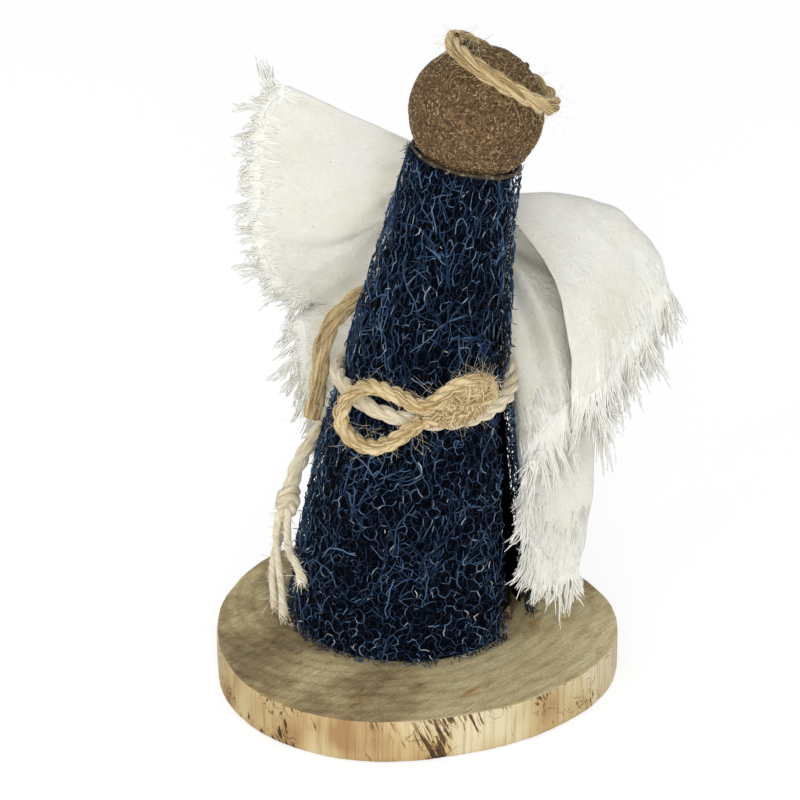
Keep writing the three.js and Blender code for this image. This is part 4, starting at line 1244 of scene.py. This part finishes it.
# A stretch of hem, the widths of its tufts, the lengths of its threads, and the way that they hang.
LEFT_FRINGES = [
    ((0.006, 0.62), (1.2, 3.6), (6.0, 10.5), (-0.02, 0, -0.15)),
    ((0.006, 0.05), (1.5, 3.0), (8.0, 13.0), (0.05, 0, 0.5)),
    ((0.56, 0.994), (1.5, 4.5), (6.0, 11.0), (-0.12, -0.1, -0.35)),
]
LEFT_FOLDS = [((0.45, 0.25), (0.36, 0.95), -3.0, 0.075)]
LEFT_RIBS = [
    (131.5, 150.3, 33.5, 140, 153, 56), (130.5, 143.5, 35, 140, 142, 61.5),
    (128, 133.5, 35, 140, 130, 60.5), (127.5, 124.5, 32.5, 140, 117, 56.5),
    (128, 116, 28, 140.5, 104, 49), (125, 108.5, 25, 138.5, 94, 43),
    (119.5, 101.5, 24.5, 130.5, 86, 40), (115.5, 95.5, 24, 121, 81.5, 39.5),
    (117.5, 92, 21, 127.5, 77, 36.5), (118, 87.5, 18, 127.5, 65, 30.5),
    (116.5, 82.5, 14.5, 126.5, 50, 22.5), (114.5, 78, 12, 126, 37, 13.5),
]


def soft_fold(across, out, start, end, height, wide):
    """A ledge in the cloth along a line between two shares, which fades away from its high side."""
    share = np.clip((out - start[1]) / (end[1] - start[1]), 0, 1)
    aside = (start[0] + (end[0] - start[0]) * share - across) / wide
    ledge = np.exp(-((np.maximum(aside, 0) / 3) ** 2)) / (1 + np.exp(-8 * aside))
    return height * np.sqrt(np.sin(math.pi * share)) * ledge


def wing_fan(ribs, side, rise, seed, folds):
    """The cloth's surface, from a share across its ribs and a share out along them."""
    table = np.array(ribs, float).T
    middles, hems = robe_point(*table[:3]), robe_point(*table[3:])
    root_x = GATHER_CENTRE[0] + side * (GATHER_WIDTH / 2 - WING_ROOT_INSET)
    root_z = GATHER_CENTRE[2] + rise

    def bare(across, out):
        root = np.stack(np.broadcast_arrays(
            root_x, GATHER_CENTRE[1], root_z + WING_ROOT_HEIGHT * (0.5 - across) * 0.92
        ), axis=-1)
        hem = spline_at(hems, across)
        control = 2 * spline_at(middles, across) - (root + hem) / 2
        out = out[..., None]
        return (1 - out) ** 2 * root + 2 * out * (1 - out) * control + out**2 * hem

    def spot(across, out):
        across, out = np.broadcast_arrays(np.asarray(across, float), np.asarray(out, float))
        near = 0.004
        sideways = bare(np.clip(across + near, 0, 1), out) - bare(np.clip(across - near, 0, 1), out)
        outward = bare(across, out + near) - bare(across, out - near)
        normal = unit(np.cross(sideways, outward))
        fade = np.clip(1 - out / 0.5, 0, 1)
        fold = np.sin(2 * math.pi * WING_PLEATS * across + 1.5 * np.sin(7 * across + seed))
        lift = 2.2 * fade**1.5 * np.clip(out / 0.06 + 0.25, 0, 1) * fold
        base = bare(across, out)
        places = [Vector(place) for place in base.reshape(-1, 3)]
        wave = np.array([noise.noise(place * 0.055 + Vector((seed, 0, 0))) for place in places])
        crease = np.array([noise.noise(place * 0.16 + Vector((0, seed, 0))) for place in places])
        lift = lift + out * (1.5 * wave + 0.9 * crease).reshape(out.shape)
        lift = lift + sum(soft_fold(across, out, *fold) for fold in folds)
        return base + normal * lift[..., None]

    return spot


def wing_mesh(name, spot, columns):
    """The cloth as a thin closed sheet, half its thickness on each side of the surface."""

    def ragged_spot(across, out):
        return spot(across, out * (0.97 + 0.025 * np.sin(95 * across + 3 * np.sin(37 * across))))

    holder = bpy.data.objects.new(name, finished_mesh(name, shaped_grid(columns, WING_ROWS, ragged_spot)))
    scene.collection.objects.link(holder)
    thicken = holder.modifiers.new("thickness", "SOLIDIFY")
    thicken.thickness = CLOTH_THICKNESS * MM
    thicken.offset = 0
    thicken.use_even_offset = False
    mesh = bpy.data.meshes.new_from_object(holder.evaluated_get(bpy.context.evaluated_depsgraph_get()))
    bpy.data.objects.remove(holder)
    return mesh


def fringe(spot, span, tuft_sizes, lengths, hang, draw):
    """Loose threads past a stretch of the hem, drawn together into pointed tufts that hang a little."""
    shares = np.linspace(*span, 500)
    along = along_line(spot(shares, np.ones(500)))
    step = np.linspace(0, 1, 8)[:, None]
    threads = []
    place = 0.0
    while place < along[-1]:
        wide = draw.uniform(*tuft_sizes)
        bases = place + np.arange(0.0, wide, THREAD_GAP)
        bases = np.interp(bases + draw.normal(0, 0.1, len(bases)), along, shares)
        loosening = 0.95 - 0.13 * draw.random(len(bases)) ** 3
        starts = spot(bases, 0.97)
        ahead = unit(spot(bases, 1.0) - spot(bases, 0.88))
        hem_way = unit(spot(np.clip(bases + 0.004, 0, 1), 1.0) - spot(bases - 0.004, 1.0))
        faces = unit(np.cross(hem_way, ahead)) * draw.choice([-1, 1], len(bases))[:, None]
        woven = [spot(bases, share) + THREAD_LIFT * faces for share in (loosening, (loosening + 0.97) / 2)]
        heart = starts.mean(axis=0)
        long = draw.uniform(*lengths)
        lean = draw.normal(0, 0.2, 3)
        for start, way, first, second in zip(starts, ahead, *woven):
            run = long * draw.uniform(0.7, 1.08) + 1.5
            pull = draw.uniform(0.5, 1.0) * (heart - start)
            pull = pull - way * (pull @ way)
            curl = draw.normal(0, 0.08, 3)
            sway = draw.normal(0, 0.45, 3)
            ripple = sway * np.sin(math.pi * draw.uniform(1, 4.5) * step + draw.uniform(0, 6))
            drop = np.array(hang) + lean + curl
            bend = way * (step - 0.25 * step**2) + drop * step**2
            loose_end = start + run * bend + pull * step**1.4 + ripple * step
            threads.append(np.vstack([first, second, loose_end]))
        place += wide * draw.uniform(0.4, 0.75)
    return threads


yarn = Finish("muslin_thread", 0.95, 0.1)
yarn.colour(yarn.ramp(yarn.tone(), [
    (0.0, (0.85, 0.835, 0.75)), (0.5, (0.895, 0.89, 0.83)), (1.0, (0.93, 0.93, 0.885)),
]))
yarn.fuzz(0.12, (1, 0.99, 0.96))


def place_wing(wing, spot, columns, fringes, draw):
    """A wing's cloth, and the loose threads along its hem."""
    cloth_name = f"{wing}_muslin"
    cloth_mesh = wing_mesh(cloth_name, spot, columns)
    cloth = place_piece(cloth_name, cloth_mesh, muslin, replaces=[f"{wing}_cloth"])
    threads = []
    for stretch in fringes:
        threads += fringe(spot, *stretch, draw)
    tones = draw.random(len(threads))
    loose_threads = place_strands(
        f"{wing}_fringe", threads, THREAD_RADIUS, 0, tones, yarn, "muslin", body=wing, tip=0.5
    )
    return cloth, loose_threads


draw = np.random.default_rng(97)
left_spot = wing_fan(LEFT_RIBS, -1, LEFT_ROOT_RISE - LEFT_ROOT_DROP, LEFT_SEED, LEFT_FOLDS)
left_wing, left_fringe = place_wing("left_wing", left_spot, LEFT_COLUMNS, LEFT_FRINGES, draw)
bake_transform(left_wing)

# Right wing: the muslin strip's other end, folded into an S-shaped pleat of three layers.
# It is held only at the gather, and its frayed hem hangs in a longer fringe than the left wing's.
RIGHT_COLUMNS = 230
RIGHT_ROOT_DROP = 3.0
RIGHT_SEED = 8.0
RIGHT_FRINGES = [
    ((0.006, 0.60), (1.5, 4.5), (10.0, 16.0), (-0.02, -0.1, -0.5)),
    ((0.55, 0.86), (1.5, 4.0), (6.0, 11.0), (-0.35, -0.2, -0.4)),
    ((0.82, 0.994), (1.5, 4.0), (7.0, 12.0), (-0.15, -0.1, -0.35)),
]
RIGHT_RIBS = [
    (16, 118, 14, 3.5, 76, 18.5), (18.5, 117, 19.5, 7.5, 77, 26), (25, 123, 26, 15.5, 85.5, 37.5),
    (31, 132, 33.5, 21.5, 95, 51), (36.5, 135.5, 41, 26, 110, 60), (42.5, 128, 36, 32, 94, 57.5),
    (39.5, 108, 20, 19.5, 75, 30.5), (35.5, 96.5, 6.0, -0.5, 62.5, 9), (34, 85.5, 3.0, -10.5, 53.5, 3.6),
    (32.5, 76, 3.2, -15.5, 40, 3.6), (30, 71, 10, -15.5, 25, 5), (27.5, 68.5, 20, -12, 13.5, 10),
    (27, 69, 29.5, -2, 14, 17),
]
RIGHT_FOLDS = [((0.54, 0.22), (0.558, 0.99), 8.5, 0.02), ((0.51, 0.22), (0.47, 0.7), -4.0, 0.03)]
right_spot = wing_fan(RIGHT_RIBS, 1, RIGHT_ROOT_RISE - RIGHT_ROOT_DROP, RIGHT_SEED, RIGHT_FOLDS)
right_wing, right_fringe = place_wing("right_wing", right_spot, RIGHT_COLUMNS, RIGHT_FRINGES, draw)
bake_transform(right_wing)
